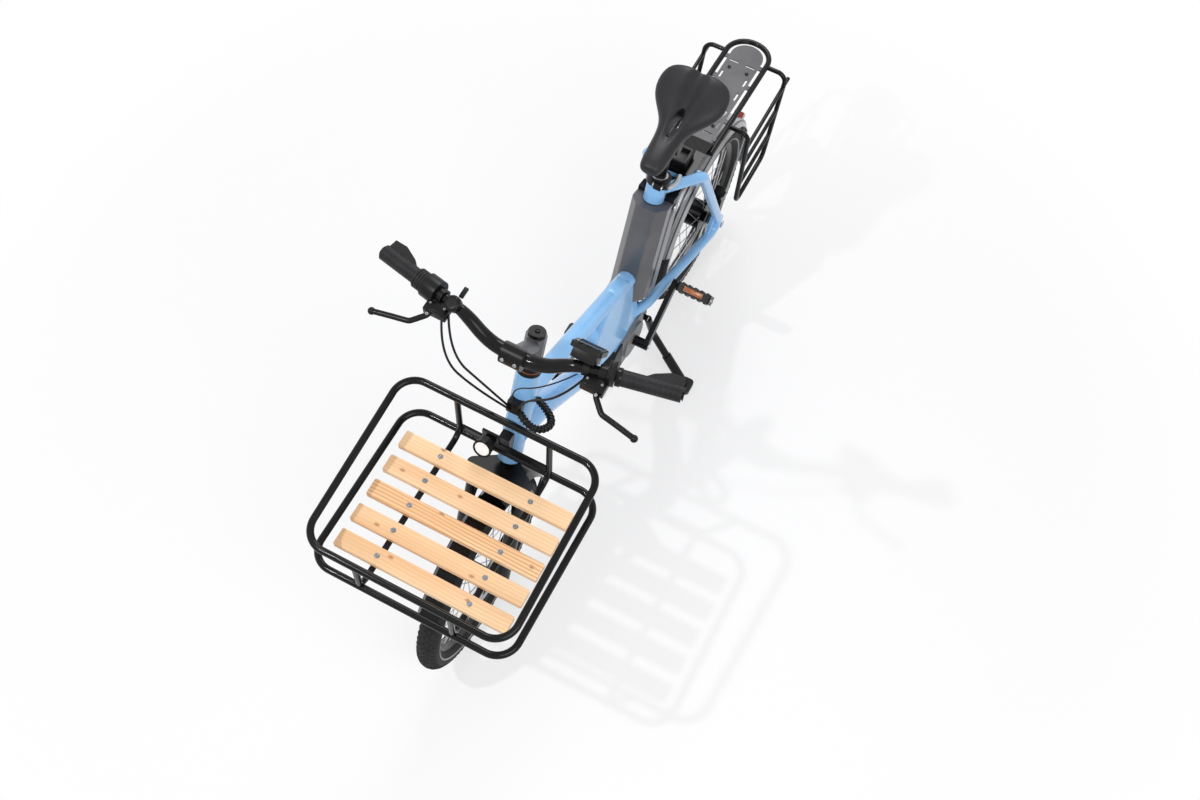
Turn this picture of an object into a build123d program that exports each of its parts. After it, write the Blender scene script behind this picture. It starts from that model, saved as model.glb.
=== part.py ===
"""Compact electric cargo bike with a front tray, standing on its two-legged stand.

Millimetres. +X is forward, +Y the rider's left, +Z up. The origin lies on the floor under the
middle of the bike. Places along the bike are given forward from the rear axle.
"""
import os
from math import atan2, cos, radians, sin

from build123d import *

# Wheels
wheelbase = 1170
tyre_radius = 257
tyre_section = 27
rim_outer = 211
rim_inner = 192
rim_half_width = 14
rear_lift = 3
spoke_radius = 1.1
spokes_per_side = 16
disc_radius = 80
disc_thickness = 2
front_hub_half = 49.7
rear_hub_half = 66.7
gap = 0.3
bore_fit = 0.05

# Steering
head_angle = 70.5
fork_offset = 40
steerer_radius = 18
head_radius = 27
head_length = 268
lower_cup = 27
leg_spread = 60
stanchion_radius = 13
lower_leg_radius = 18
crown_thickness = 30
arch_room = 16.5
headset_height = 26
stem_height = 102
stem_radius = 21
cap_height = 9
cap_radius = 18.5
bar_forward = 104
bar_above_stem = 23
bar_radius = 11
bar_centre_radius = 15.5
bar_half_width = 336
clamp_half_width = 24
clamp_outer = 20
faceplate_thickness = 6
arch_radius = 7
lamp_tilt = 25
guide_below_head = 92

# Frame
bb_x = 458
bb_z = 305
seat_angle = 71.4
seat_tube_radius = 18
collar_radius = 25
collar_low = 436
seat_tube_top = 487
upper_tube_height = 19
upper_tube_half_width = 23
down_tube_height = 25
down_tube_half_width = 30
lug_half_width = 36
lug_low = 364
lug_high = 378
stay_radius = 13
stay_join_drop = 26
knee_drop = 26
bridge_drop = 12
dropout_y = 72
dropout_thickness = 9
dropout_radius = 24
axle_radius = 6

# Drive
crank_length = 170
crank_angle = 151
crank_y = 75
crank_thickness = 13
motor_half_width = 42
spindle_radius = 13
skid_thickness = 5
skid_half_width = 24
chainring_radius = 41
sprocket_radius = 26
belt_y = -49
belt_width = 9
belt_thickness = 4
pedal_length = 92
pedal_width = 66
pedal_height = 24
pedal_tilt = 60

# Battery
battery_half_width = 44
battery_rear = -110
battery_low = 128
battery_high = 428
battery_rear_half_width = 34
holder_thickness = 2
holder_height = 16
cover_half_width = 46
cover_front_half_width = 25
cover_front = 46
cover_rear = -11.7
cover_shoulder = 18
cover_low = 150
cover_high = 434

# Front tray
tray_gap = 14
tray_length = 409
tray_half_width = 236
rail_radius = 8
rail_corner = 50
tray_above_head = 61.2
tray_rear_rise = 151
tray_front_rise = 110
bearer_y = 110
bearer_drop = 3
slat_count = 5
slat_length = 410
slat_width = 40
slat_thickness = 15
slat_pitch = 64.4
slat_inset = 63

# Rear rack
rack_half_width = 56
rack_tube_radius = 7
rack_rear_straight = -214
rack_front = 122
rack_drop = 8
rack_fall = 28
bridge_half_thickness = 8
plate_thickness = 3
plate_half_width = 42
plate_front = 100
pannier_y = 112
pannier_tube_radius = 6
pannier_front = 18
pannier_rear = -212
pannier_depth = 263
pannier_low_rear = -152
fender_gap = 18
fender_half_width = 31
fender_thickness = 2.5
fender_stay_radius = 2.5
fender_stay_angle = 158
front_stay_angle = 164

# Saddle
saddle_length = 268
saddle_nose_x = 375
saddle_height = 905
saddle_opening = 80
saddle_rail_y = 22
saddle_rail_radius = 3.5
post_radius = 14.9
post_head_radius = 17

# Stand
stand_x = 345
stand_z = 232
stand_knee_x = 330
stand_knee_y = 52
stand_knee_z = 140
stand_foot_x = 360
stand_foot_y = 172
stand_tube_radius = 10
stand_sleeve_radius = 13

# Places and heights that follow from the sizes above
head_sin = sin(radians(head_angle))
head_cos = cos(radians(head_angle))
head_foot_x = wheelbase - fork_offset * head_sin
head_foot_z = tyre_radius - fork_offset * head_cos
fender_inner = tyre_radius + fender_gap
fender_outer = fender_inner + fender_thickness
arch_along = fender_outer + 2 * arch_radius
crown_low = arch_along + arch_radius + arch_room
crown_height = crown_low + crown_thickness
head_low = crown_height + lower_cup
head_high = head_low + head_length
stem_top = head_high + stem_height
bar_rise = stem_top + bar_above_stem
strip_front = head_radius + 3
tray_along = head_low + tray_above_head
lower_rail_height = head_foot_z + tray_along * head_sin
tray_rear = head_foot_x + strip_front * head_sin - tray_along * head_cos + tray_gap
tray_front = tray_rear + tray_length
tray_rear_height = lower_rail_height + tray_rear_rise
tray_front_height = lower_rail_height + tray_front_rise
bearer_height = lower_rail_height - bearer_drop
slat_rear = tray_rear + slat_inset
stay_join_height = bb_z + (seat_tube_top - stay_join_drop) * sin(radians(seat_angle))
knee_height = stay_join_height - knee_drop
bridge_height = knee_height - bridge_drop
rack_front_height = bridge_height - rack_drop
rack_rear_height = rack_front_height - rack_fall
pannier_low = rack_rear_height - pannier_depth
front_end = tray_front + rail_radius
rear_end = rack_rear_straight - rack_half_width - rack_tube_radius
middle = (front_end + rear_end) / 2
rear_axle_height = tyre_radius + rear_lift

os.makedirs("parts", exist_ok=True)


def at(forward, left, up):
    """A point given forward from the rear axle, to the left, and up from the floor."""
    return Vector(forward - middle, left, up)


def steer(forward, left, along):
    """A point given in the steering head's own directions, from the front axle's level."""
    x = head_foot_x + forward * head_sin - along * head_cos
    return at(x, left, head_foot_z + forward * head_cos + along * head_sin)


def seat(forward, left, along):
    """A point given in the seat tube's own directions, from the bottom bracket."""
    c = cos(radians(seat_angle))
    s = sin(radians(seat_angle))
    return at(bb_x + forward * s - along * c, left, bb_z + forward * c + along * s)


def steer_plane(along, forward=0, left=0):
    """A plane across the steering axis: its x points ahead."""
    return Plane(steer(forward, left, along), x_dir=(head_sin, 0, head_cos), z_dir=(-head_cos, 0, head_sin))


def seat_plane(along, forward=0, left=0):
    """A plane across the seat tube: its x points ahead."""
    c = cos(radians(seat_angle))
    s = sin(radians(seat_angle))
    return Plane(seat(forward, left, along), x_dir=(s, 0, c), z_dir=(-c, 0, s))


def side_plane(left=0):
    """A fore-and-aft plane: its x runs forward from the rear axle, its y up from the floor."""
    return Plane(at(0, left, 0), x_dir=(1, 0, 0), z_dir=(0, -1, 0))


def radial_plane(centre):
    """A plane through a wheel's axle: its x is the radius, its y runs to the left."""
    return Plane(centre, x_dir=(0, 0, 1), z_dir=(-1, 0, 0))


def run(points, radius, bend=0, wide=0, loop=False):
    """A tube along the points, with its corners bent; wide makes it an oval lying flat."""
    with BuildLine() as route:
        if bend:
            path = FilletPolyline(*points, radius=bend, close=loop)
        else:
            path = Polyline(*points)
    across = (0, 1, 0) if wide else None
    with BuildSketch(Plane(path @ 0, x_dir=across, z_dir=path % 0)) as section:
        if wide:
            Ellipse(wide, radius)
        else:
            Circle(radius)
    sweep(section.sketch, path=route.line)


def disc_between(centre, radius, y_low, y_high, hole=0, mode=Mode.ADD):
    """A round piece on a cross axle, between two places to the left."""
    with BuildSketch(Plane(centre + Vector(0, y_low, 0), x_dir=(1, 0, 0), z_dir=(0, 1, 0))) as face:
        Circle(radius)
        if hole:
            Circle(hole, mode=Mode.SUBTRACT)
    extrude(face.sketch, amount=y_high - y_low, mode=mode)


def hand_in(piece, label):
    """Labels a piece and writes its STEP file."""
    piece.part.label = label
    export_step(piece.part, f"parts/{label}.step")


front_axle = at(wheelbase, 0, tyre_radius)
rear_axle = at(0, 0, rear_axle_height)
bracket = at(bb_x, 0, bb_z)

# Frame: head tube, upper tube, down tube and web, seat tube, stays, dropouts, carrier lug
upper_tube = [steer(0, 0, head_high - 80), at(398, 0, 508)]
down_tube = [steer(0, 0, head_low + 78), at(862, 0, 592), at(705, 0, 447), at(565, 0, 382), at(470, 0, 372)]
stay_route = [  # forward, left, up, from the seat tube round the dropout to the web
    (302, 12, stay_join_height),
    (204, 74, knee_height),
    (6, 78, rear_axle_height + 8),
    (392, 46, 388),
    (446, 24, 392),
]
web_sections = [  # forward, bottom, top, half width at the bottom, half width at the top
    (424, 370, 526, 37, 19),
    (556, 372, 584, 36, 19),
    (646, 408, 476, 25, 20),
]
with BuildPart() as web:
    for forward, bottom, top, low_half, high_half in web_sections:
        with BuildSketch(Plane(at(forward, 0, 0), x_dir=(0, 1, 0), z_dir=(1, 0, 0))):
            with BuildLine():
                Polyline((-low_half, bottom), (low_half, bottom), (high_half, top), (-high_half, top),
                         close=True)
            make_face()
            fillet(vertices(), 14)
    loft()
with BuildPart() as frame:
    with BuildSketch(steer_plane(head_low)):
        Circle(head_radius)
    extrude(amount=head_high - head_low)
    run(upper_tube, upper_tube_height, wide=upper_tube_half_width)
    run(down_tube, down_tube_height, bend=60, wide=down_tube_half_width)
    add(web.part)
    with BuildSketch(seat_plane(60)):
        Circle(seat_tube_radius)
    extrude(amount=seat_tube_top - 60)
    with BuildSketch(seat_plane(collar_low)):
        Circle(collar_radius)
    extrude(amount=seat_tube_top - collar_low)
    for side in (1, -1):
        run([at(x, side * y, z) for x, y, z in stay_route], stay_radius, bend=30)
        disc_between(rear_axle, dropout_radius, side * dropout_y - dropout_thickness / 2,
                     side * dropout_y + dropout_thickness / 2)
        with BuildSketch(side_plane(side * dropout_y)):
            with BuildLine():
                Polyline((-18, 268), (50, 372), (100, 304), (12, 244), close=True)
            make_face()
        extrude(amount=dropout_thickness / 2, both=True)
    with BuildSketch(side_plane()):
        with Locations((208, bridge_height)):
            Rectangle(34, 2 * bridge_half_thickness)
    extrude(amount=70, both=True)
    with BuildSketch(side_plane()):
        with Locations((470, (lug_low + lug_high) / 2)):
            Rectangle(150, lug_high - lug_low)
    extrude(amount=lug_half_width, both=True)
    with BuildSketch(steer_plane(tray_along - 23, forward=strip_front - 7)):
        Rectangle(14, 26)
    extrude(amount=120)
    with BuildSketch(steer_plane(head_low)):
        Circle(steerer_radius + bore_fit)
    extrude(amount=head_high - head_low, mode=Mode.SUBTRACT)
    with BuildSketch(seat_plane(seat_tube_top - 200)):
        Circle(post_radius + bore_fit)
    extrude(amount=200, mode=Mode.SUBTRACT)
    disc_between(rear_axle, axle_radius + bore_fit, -100, 100, mode=Mode.SUBTRACT)
hand_in(frame, "frame")

# Motor under the frame, with the skid plate below it
motor_top = lug_low - gap
motor_outline = [(398, motor_top), (545, motor_top), (590, 330), (560, 262), (440, 240), (398, 270)]
with BuildPart() as motor:
    with BuildSketch(side_plane()):
        with BuildLine():
            Polyline(*motor_outline, close=True)
        make_face()
        fillet(vertices().group_by(Axis.Z)[0], 20)
    extrude(amount=motor_half_width, both=True)
    disc_between(bracket, 50, motor_half_width, motor_half_width + 6)
    disc_between(bracket, spindle_radius + bore_fit, -60, 60, mode=Mode.SUBTRACT)
    add(frame.part, mode=Mode.SUBTRACT)
hand_in(motor, "motor")

skid_route = [(438, 240), (562, 262), (594, 334)]
with BuildPart() as motor_skid:
    with BuildLine() as skid_line:
        FilletPolyline(*[at(x, 0, z) for x, z in skid_route], radius=34)
    skid_start = skid_line.line @ 0
    with BuildSketch(Plane(skid_start, x_dir=(0, 1, 0), z_dir=skid_line.line % 0)):
        RectangleRounded(2 * skid_half_width, 2 * skid_thickness, 2)
    sweep(path=skid_line.line)
    add(motor.part, mode=Mode.SUBTRACT)
hand_in(motor_skid, "motor_skid")

# Battery behind the seat tube, its black holder, and the cover in front
battery_front = -seat_tube_radius - gap
with BuildPart() as battery:
    with BuildSketch(seat_plane(battery_low)):
        with BuildLine():
            Polyline((battery_front, -battery_half_width), (battery_front, battery_half_width),
                     (-70, battery_half_width), (battery_rear, battery_rear_half_width),
                     (battery_rear, -battery_rear_half_width), (-70, -battery_half_width), close=True)
        make_face()
        fillet(vertices().group_by(Axis.X)[0], 20)
    extrude(amount=battery_high - battery_low)
    add(frame.part, mode=Mode.SUBTRACT)
hand_in(battery, "battery")

holder_low = battery_high + gap
with BuildPart() as battery_holder:
    with BuildSketch(seat_plane(holder_low)):
        with Locations(((cover_rear + battery_rear) / 2, 0)):
            RectangleRounded(cover_rear - battery_rear - 2 * gap, 2 * battery_half_width, 12)
    extrude(amount=holder_height)
    for side in (1, -1):
        flank = seat(0, side * (battery_half_width + gap), 0)
        with BuildSketch(Plane(flank, x_dir=seat_plane(0).x_dir, z_dir=(0, side, 0))):
            with BuildLine():
                strip = [(-13, 168), (-26, 168), (-26, 378), (-44, 404), (-44, 444), (-13, 444)]
                Polyline(*[(a, -side * w) for a, w in strip], close=True)
            make_face()
        extrude(amount=holder_thickness)
    with BuildSketch(seat_plane(holder_low)):
        with Locations((-28.5, 0)):
            Rectangle(30, 2 * (battery_half_width + gap + holder_thickness))
    extrude(amount=holder_height - gap)
    with BuildSketch(seat_plane(holder_low)):
        Circle(collar_radius + gap)
    extrude(amount=holder_height, mode=Mode.SUBTRACT)
    add(frame.part, mode=Mode.SUBTRACT)
hand_in(battery_holder, "battery_holder")

with BuildPart() as battery_cover:
    with BuildSketch(seat_plane(cover_low)):
        with BuildLine():
            Polyline((cover_rear, -cover_half_width), (cover_shoulder, -cover_half_width),
                     (cover_front, -cover_front_half_width), (cover_front, cover_front_half_width),
                     (cover_shoulder, cover_half_width), (cover_rear, cover_half_width), close=True)
        make_face()
        fillet(vertices().group_by(Axis.X)[-1], 8)
    extrude(amount=cover_high - cover_low)
    with BuildSketch(seat_plane(cover_low)):
        Circle(seat_tube_radius + gap)
        with Locations((-20, 0)):
            Rectangle(40, 2 * seat_tube_radius + 2 * gap)
    extrude(amount=cover_high - cover_low, mode=Mode.SUBTRACT)
    add(frame.part, mode=Mode.SUBTRACT)
    add(battery.part, mode=Mode.SUBTRACT)
hand_in(battery_cover, "battery_cover")

# Saddle with its rails, seat post and clamp
saddle_sections = [  # share of the length from the nose, half width, rise of the top, depth
    (0.0, 17, 0, 30),
    (0.12, 25, 3, 40),
    (0.42, 31, 10, 46),
    (0.60, 62, 21, 50),
    (0.76, 86, 34, 54),
    (0.92, 84, 47, 46),
    (1.0, 58, 51, 32),
]
post_high = 588
with BuildPart() as saddle:
    for share, half, rise, depth in saddle_sections:
        origin = at(saddle_nose_x - share * saddle_length, 0, saddle_height + rise - depth / 2)
        with BuildSketch(Plane(origin, x_dir=(0, 1, 0), z_dir=(-1, 0, 0))):
            RectangleRounded(2 * half, depth, 14)
    loft()
    with BuildSketch(Plane(at(saddle_nose_x - 0.5 * saddle_length, 0, saddle_height - 60))):
        SlotOverall(saddle_opening, 19)
    extrude(amount=120, mode=Mode.SUBTRACT)
    for side in (1, -1):
        y = side * saddle_rail_y
        rail = [(40, side * 8, -18), (75, y, -45), (175, y, -30), (225, y, 10)]
        run([at(saddle_nose_x - back, left, saddle_height + rise) for back, left, rise in rail],
            saddle_rail_radius, bend=20)
hand_in(saddle, "saddle")

with BuildPart() as seatpost:
    with BuildSketch(seat_plane(seat_tube_top - 150)):
        Circle(post_radius)
    extrude(amount=post_high - seat_tube_top + 150)
    disc_between(seat(-2, 0, post_high + 4), post_head_radius, -saddle_rail_y - 8, saddle_rail_y + 8)
    add(saddle.part, mode=Mode.SUBTRACT)
hand_in(seatpost, "seatpost")

clamp_radius = collar_radius + 4
with BuildPart() as seat_clamp:
    with BuildSketch(seat_plane(seat_tube_top)):
        Circle(clamp_radius)
        with Locations((clamp_radius - 2, 10)):
            Rectangle(16, 18)
        Circle(post_radius + gap, mode=Mode.SUBTRACT)
    extrude(amount=16)
    run([seat(clamp_radius, 12, seat_tube_top + 8), seat(clamp_radius + 4, 34, seat_tube_top + 8),
         seat(-clamp_radius + 4, 40, seat_tube_top + 14)], 4, bend=16)
hand_in(seat_clamp, "seat_clamp")

# Fork with its arch, headset, stem, faceplate and cap
leg_top = 195
with BuildPart() as fork:
    with BuildSketch(steer_plane(crown_low)):
        Circle(steerer_radius)
    extrude(amount=stem_top - crown_low)
    with BuildSketch(steer_plane(crown_low)):
        Circle(head_radius)
        with Locations((fork_offset, leg_spread), (fork_offset, -leg_spread)):
            Circle(lower_leg_radius + 2)
        make_hull()
    extrude(amount=crown_height - crown_low)
    for side in (1, -1):
        with BuildSketch(steer_plane(leg_top - 25, fork_offset, side * leg_spread)):
            Circle(stanchion_radius)
        extrude(amount=crown_height - leg_top + 20)
        with BuildSketch(steer_plane(-20, fork_offset, side * leg_spread)):
            Circle(lower_leg_radius)
        extrude(amount=leg_top + 20)
    run([steer(fork_offset, leg_spread, leg_top - 10), steer(fork_offset, leg_spread - 12, arch_along),
         steer(fork_offset, 12 - leg_spread, arch_along), steer(fork_offset, -leg_spread, leg_top - 10)],
        arch_radius, bend=24)
    disc_between(front_axle, axle_radius, -leg_spread, leg_spread)
    with BuildSketch(steer_plane(head_high + gap)):
        Circle(head_radius)
    extrude(amount=headset_height, taper=12)
hand_in(fork, "fork")

bar_centre = steer(bar_forward, 0, bar_rise)
with BuildPart() as stem:
    low = head_high + gap + headset_height + gap
    with BuildSketch(steer_plane(low)):
        RegularPolygon(stem_radius + 2, 10)
    extrude(amount=stem_top - low)
    run([steer(0, 0, stem_top - 28), bar_centre], 15, wide=18)
    disc_between(bar_centre, clamp_outer, -clamp_half_width, clamp_half_width)
    with BuildSketch(steer_plane(low)):
        Circle(steerer_radius + bore_fit)
    extrude(amount=stem_top - low, mode=Mode.SUBTRACT)
    disc_between(bar_centre, bar_centre_radius + bore_fit, -30, 30, mode=Mode.SUBTRACT)
hand_in(stem, "stem")

with BuildPart() as bar_clamp:
    clamp_end = bar_centre - Vector(0, clamp_half_width, 0)
    with BuildSketch(Plane(clamp_end, x_dir=steer_plane(0).x_dir, z_dir=(0, 1, 0))):
        Circle(clamp_outer + gap + faceplate_thickness)
        Circle(clamp_outer + gap, mode=Mode.SUBTRACT)
        with Locations((-40, 0)):
            Rectangle(80, 80, mode=Mode.SUBTRACT)
    extrude(amount=2 * clamp_half_width)
hand_in(bar_clamp, "bar_clamp")

with BuildPart() as stem_cap:
    with BuildSketch(steer_plane(stem_top)):
        Circle(cap_radius)
    extrude(amount=cap_height)
hand_in(stem_cap, "stem_cap")

# Handlebar, grips and controls
grip_length = 132
grip_inset = 131
grip_start = bar_half_width - grip_inset
bar_points = [(bar_forward, 30, bar_rise), (bar_forward, 55, bar_rise), (bar_forward - 2, 125, bar_rise + 44),
              (bar_forward - 50, bar_half_width, bar_rise + 52)]
with BuildPart() as handlebar:
    disc_between(bar_centre, bar_centre_radius, -30, 30)
    for side in (1, -1):
        run([steer(u, side * v, s) for u, v, s in bar_points], bar_radius, bend=35)
hand_in(handlebar, "handlebar")


def bar_point(v):
    """The bar's centre at a place to the left, on its straight outer run."""
    u0, v0, s0 = bar_points[2]
    u1, v1, s1 = bar_points[3]
    t = (abs(v) - v0) / (v1 - v0)
    return steer(u0 + t * (u1 - u0), v, s0 + t * (s1 - s0))


def bar_plane(v):
    """A plane across the bar, its normal pointing outwards, its x forwards."""
    out = (bar_point(v * 1.01) - bar_point(v)).normalized()
    return Plane(bar_point(v), x_dir=Vector(0, 0, 1).cross(out).normalized(), z_dir=out)


grip_radius = 17
wing_half_thickness = 6
wing_outline = [(34, 0), (grip_length, 0), (grip_length, 34), (104, 37), (70, 25)]
with BuildPart() as grips:
    for side in (1, -1):
        start = bar_plane(side * grip_start)
        back = Vector(0, 0, side).cross(start.z_dir).normalized()
        with BuildSketch(start):
            Circle(grip_radius)
        extrude(amount=grip_length)
        with BuildSketch(Plane(start.origin, x_dir=start.z_dir, z_dir=start.z_dir.cross(back))):
            with BuildLine():
                Polyline(*wing_outline, close=True)
            make_face()
            fillet(vertices().sort_by_distance(start.origin)[-3:], 9)
        extrude(amount=wing_half_thickness, both=True)
        with BuildSketch(start):
            Circle(bar_radius + bore_fit)
        extrude(amount=grip_length, mode=Mode.SUBTRACT)
hand_in(grips, "grips")

lever_inset = 33
lever_clamp_width = 16
lever_place = grip_start - lever_inset
with BuildPart() as brake_levers:
    for side in (1, -1):
        with BuildSketch(bar_plane(side * lever_place)):
            Circle(16)
        extrude(amount=lever_clamp_width)
        clamp = bar_point(side * (lever_place + 8))
        run([clamp + Vector(16, side * 10, -6), clamp + Vector(18, -side * 16, -8)], 9)
        tip = clamp + Vector(86, side * 112, -24)
        run([clamp + Vector(14, 0, -6), clamp + Vector(46, side * 8, -14), clamp + Vector(72, side * 34, -20),
             clamp + Vector(78, side * 70, -22), tip], 6, bend=18)
        with Locations(tip):
            Sphere(8)
        with BuildSketch(bar_plane(side * (lever_place - 40))):
            Circle(bar_radius + bore_fit)
        extrude(amount=80, mode=Mode.SUBTRACT)
hand_in(brake_levers, "brake_levers")

screen_facing = Vector(-0.8, 0, 0.6)
screen_reach = 33
screen_thickness = 11
with BuildPart() as display:
    with BuildSketch(bar_plane(140)):
        Circle(15)
    extrude(amount=14)
    arm = bar_point(147)
    with BuildSketch(Plane(arm, x_dir=(0, 1, 0), z_dir=screen_facing)):
        Rectangle(13, 18)
    extrude(amount=screen_reach)
    screen_back = arm + Vector(0, -10, 0) + screen_facing * screen_reach
    with BuildSketch(Plane(screen_back, x_dir=(0, 1, 0), z_dir=screen_facing)):
        RectangleRounded(66, 62, 8)
    extrude(amount=screen_thickness)
    with BuildSketch(bar_plane(130)):
        Circle(bar_radius + bore_fit)
    extrude(amount=40, mode=Mode.SUBTRACT)
hand_in(display, "display")

with BuildPart() as bell:
    with BuildSketch(bar_plane(-138)):
        Circle(14)
        Circle(bar_radius + bore_fit, mode=Mode.SUBTRACT)
    extrude(amount=10)
    bell_base = bar_plane(-143)
    bell_up = (bell_base.y_dir + bell_base.x_dir * 0.4).normalized()
    bell_foot = bell_base.origin + bell_up * (bar_radius + gap)
    with BuildSketch(Plane(bell_foot, x_dir=bell_base.z_dir, z_dir=bell_up)):
        Circle(17)
    extrude(amount=16)
    fillet(faces().sort_by(Axis.Z)[-1].edges(), 7)
    with BuildSketch(bar_plane(-120)):
        Circle(bar_radius + bore_fit)
    extrude(amount=50, mode=Mode.SUBTRACT)
hand_in(bell, "bell")


def make_wheel(centre, hub_half, flange_radius, flange_y, shell_radius, disc_y, cog=0):
    """The tyre, rim, hub with its spokes, and disc of one wheel."""
    axis = Axis(centre, (0, 1, 0))
    with BuildPart() as tyre:
        with BuildSketch(radial_plane(centre)):
            with Locations((tyre_radius - tyre_section, 0)):
                Circle(tyre_section)
            with Locations((rim_outer - 20 + gap / 2, 0)):
                Rectangle(40, 2 * rim_half_width + gap, mode=Mode.SUBTRACT)
            with Locations((rim_outer - 30, 0)):
                Rectangle(40, 100, mode=Mode.SUBTRACT)
        revolve(axis=axis)
    with BuildPart() as rim:
        with BuildSketch(radial_plane(centre)):
            with BuildLine():
                Polyline((rim_outer, -rim_half_width), (rim_outer, rim_half_width),
                         (rim_outer - 10, rim_half_width), (rim_inner, 7), (rim_inner, -7),
                         (rim_outer - 10, -rim_half_width), close=True)
            make_face()
        revolve(axis=axis)
    with BuildPart() as hub:
        disc_between(centre, shell_radius, -flange_y, flange_y)
        for side in (1, -1):
            disc_between(centre, flange_radius, side * flange_y - 2, side * flange_y + 2)
        disc_between(centre, 15, -hub_half + 1, hub_half - 1)
        if cog:
            disc_between(centre, cog, belt_y - belt_width / 2, belt_y + belt_width / 2)
        reach = rim_inner - gap
        for side in (1, -1):
            for number in range(spokes_per_side):
                start = 360 / spokes_per_side * (number + side / 4)
                lead = 55 if number % 2 else -55
                a = radians(start)
                b = radians(start + lead * 0.5)
                inner = Vector((flange_radius - 4) * cos(a), side * flange_y, (flange_radius - 4) * sin(a))
                outer = Vector(reach * cos(b), side * 4, reach * sin(b))
                run([centre + inner, centre + outer], spoke_radius)
        disc_between(centre, axle_radius + bore_fit, -hub_half, hub_half, mode=Mode.SUBTRACT)
    with BuildPart() as disc:
        face = disc_y - disc_thickness / 2
        disc_between(centre, disc_radius, face, face + disc_thickness, hole=15 + gap)
        below = centre + Vector(0, face - disc_thickness / 2, 0)
        with BuildSketch(Plane(below, x_dir=(1, 0, 0), z_dir=(0, 1, 0))):
            with PolarLocations(46, 6):
                SlotOverall(36, 22, rotation=90)
        extrude(amount=2 * disc_thickness, mode=Mode.SUBTRACT)
    return tyre, rim, hub, disc


front = make_wheel(front_axle, front_hub_half - 16, 24, 26, 14, 31)
rear = make_wheel(rear_axle, rear_hub_half, 44, 28, 38, 50, cog=sprocket_radius - belt_thickness)
for place, pieces in (("front", front), ("rear", rear)):
    for piece, word in zip(pieces, ("tyre", "rim", "hub", "disc")):
        hand_in(piece, f"{place}_{word}")

with BuildPart() as rear_axle_bolt:
    disc_between(rear_axle, axle_radius, -86, 86)
    for side in (1, -1):
        low, high = sorted((side * (dropout_y + dropout_thickness / 2 + gap), side * 86))
        disc_between(rear_axle, 10, low, high)
hand_in(rear_axle_bolt, "rear_axle_bolt")


def fender_part(centre, start, stop, half_width):
    """A thin curved guard over a tyre, between two angles from straight ahead."""
    edge = fender_inner - 14
    outward = (cos(radians(start)), 0, sin(radians(start)))
    with BuildPart() as guard:
        with BuildSketch(Plane(centre, x_dir=outward, z_dir=Vector(outward).cross(Vector(0, 1, 0)))):
            with BuildLine():
                Polyline((edge, -half_width), (fender_inner, -half_width + 10),
                         (fender_inner, half_width - 10), (edge, half_width),
                         (edge, half_width + fender_thickness), (fender_outer, half_width - 8),
                         (fender_outer, -half_width + 8), (edge, -half_width - fender_thickness), close=True)
            make_face()
        revolve(axis=Axis(centre, (0, -1, 0)), revolution_arc=stop - start)
    return guard


front_fender_arc = fender_part(front_axle, 40, 175, fender_half_width)
with BuildPart() as front_fender:
    add(front_fender_arc.part)
    post_top = steer(20, 0, crown_low - 3 * gap)
    outward = (post_top - front_axle).normalized()
    run([post_top, front_axle + outward * (fender_inner + 1)], 8)
    for side in (1, -1):
        edge = Vector(cos(radians(front_stay_angle)), 0, sin(radians(front_stay_angle))) * (fender_inner - 10)
        leg = steer(fork_offset - lower_leg_radius - gap - fender_stay_radius, side * leg_spread, 20)
        run([front_axle + edge + Vector(0, side * fender_half_width, 0), leg], fender_stay_radius)
hand_in(front_fender, "front_fender")

rear_fender_arc = fender_part(rear_axle, 25, 195, fender_half_width)
with BuildPart() as rear_fender:
    add(rear_fender_arc.part)
    for side in (1, -1):
        outward = Vector(cos(radians(fender_stay_angle)), 0, sin(radians(fender_stay_angle)))
        edge = outward * (fender_inner - 10)
        eye = Vector(-18, side * (dropout_y - dropout_thickness / 2 - gap - fender_stay_radius), 8)
        run([rear_axle + edge + Vector(0, side * fender_half_width, 0), rear_axle + eye], fender_stay_radius)
hand_in(rear_fender, "rear_fender")

# Cranks, chainring, belt
with BuildPart() as cranks:
    disc_between(bracket, spindle_radius, -crank_y, crank_y)
    for side, angle in ((1, crank_angle), (-1, crank_angle + 180)):
        tip = bracket + Vector(crank_length * cos(radians(angle)), 0, crank_length * sin(radians(angle)))
        direction = (cos(radians(angle)), 0, sin(radians(angle)))
        low = side * (crank_y + crank_thickness / 2) + crank_thickness / 2
        with BuildSketch(Plane(bracket + Vector(0, low, 0), x_dir=direction, z_dir=(0, -1, 0))):
            with Locations((crank_length / 2, 0)):
                SlotCenterToCenter(crank_length, 26)
        extrude(amount=crank_thickness)
        disc_between(tip, 7 + bore_fit, -120, 120, mode=Mode.SUBTRACT)
    disc_between(bracket, chainring_radius - belt_thickness, belt_y - belt_width / 2, belt_y + belt_width / 2)
hand_in(cranks, "cranks")

for side, angle, name in ((1, crank_angle, "pedal_left"), (-1, crank_angle + 180, "pedal_right")):
    tip = bracket + Vector(crank_length * cos(radians(angle)), 0, crank_length * sin(radians(angle)))
    inner_y = crank_y + crank_thickness + 5
    with BuildPart() as pedal:
        low, high = sorted((side * crank_y, side * (inner_y + pedal_length - 4)))
        disc_between(tip, 7, low, high)
        tread = (-sin(radians(pedal_tilt)), 0, cos(radians(pedal_tilt)))
        middle_of_pedal = tip + Vector(0, side * (inner_y + pedal_length / 2), 0)
        with BuildSketch(Plane(middle_of_pedal, x_dir=(-tread[2], 0, tread[0]), z_dir=tread)):
            RectangleRounded(pedal_width, pedal_length, 8)
        extrude(amount=pedal_height / 2, both=True)
    hand_in(pedal, name)


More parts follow.
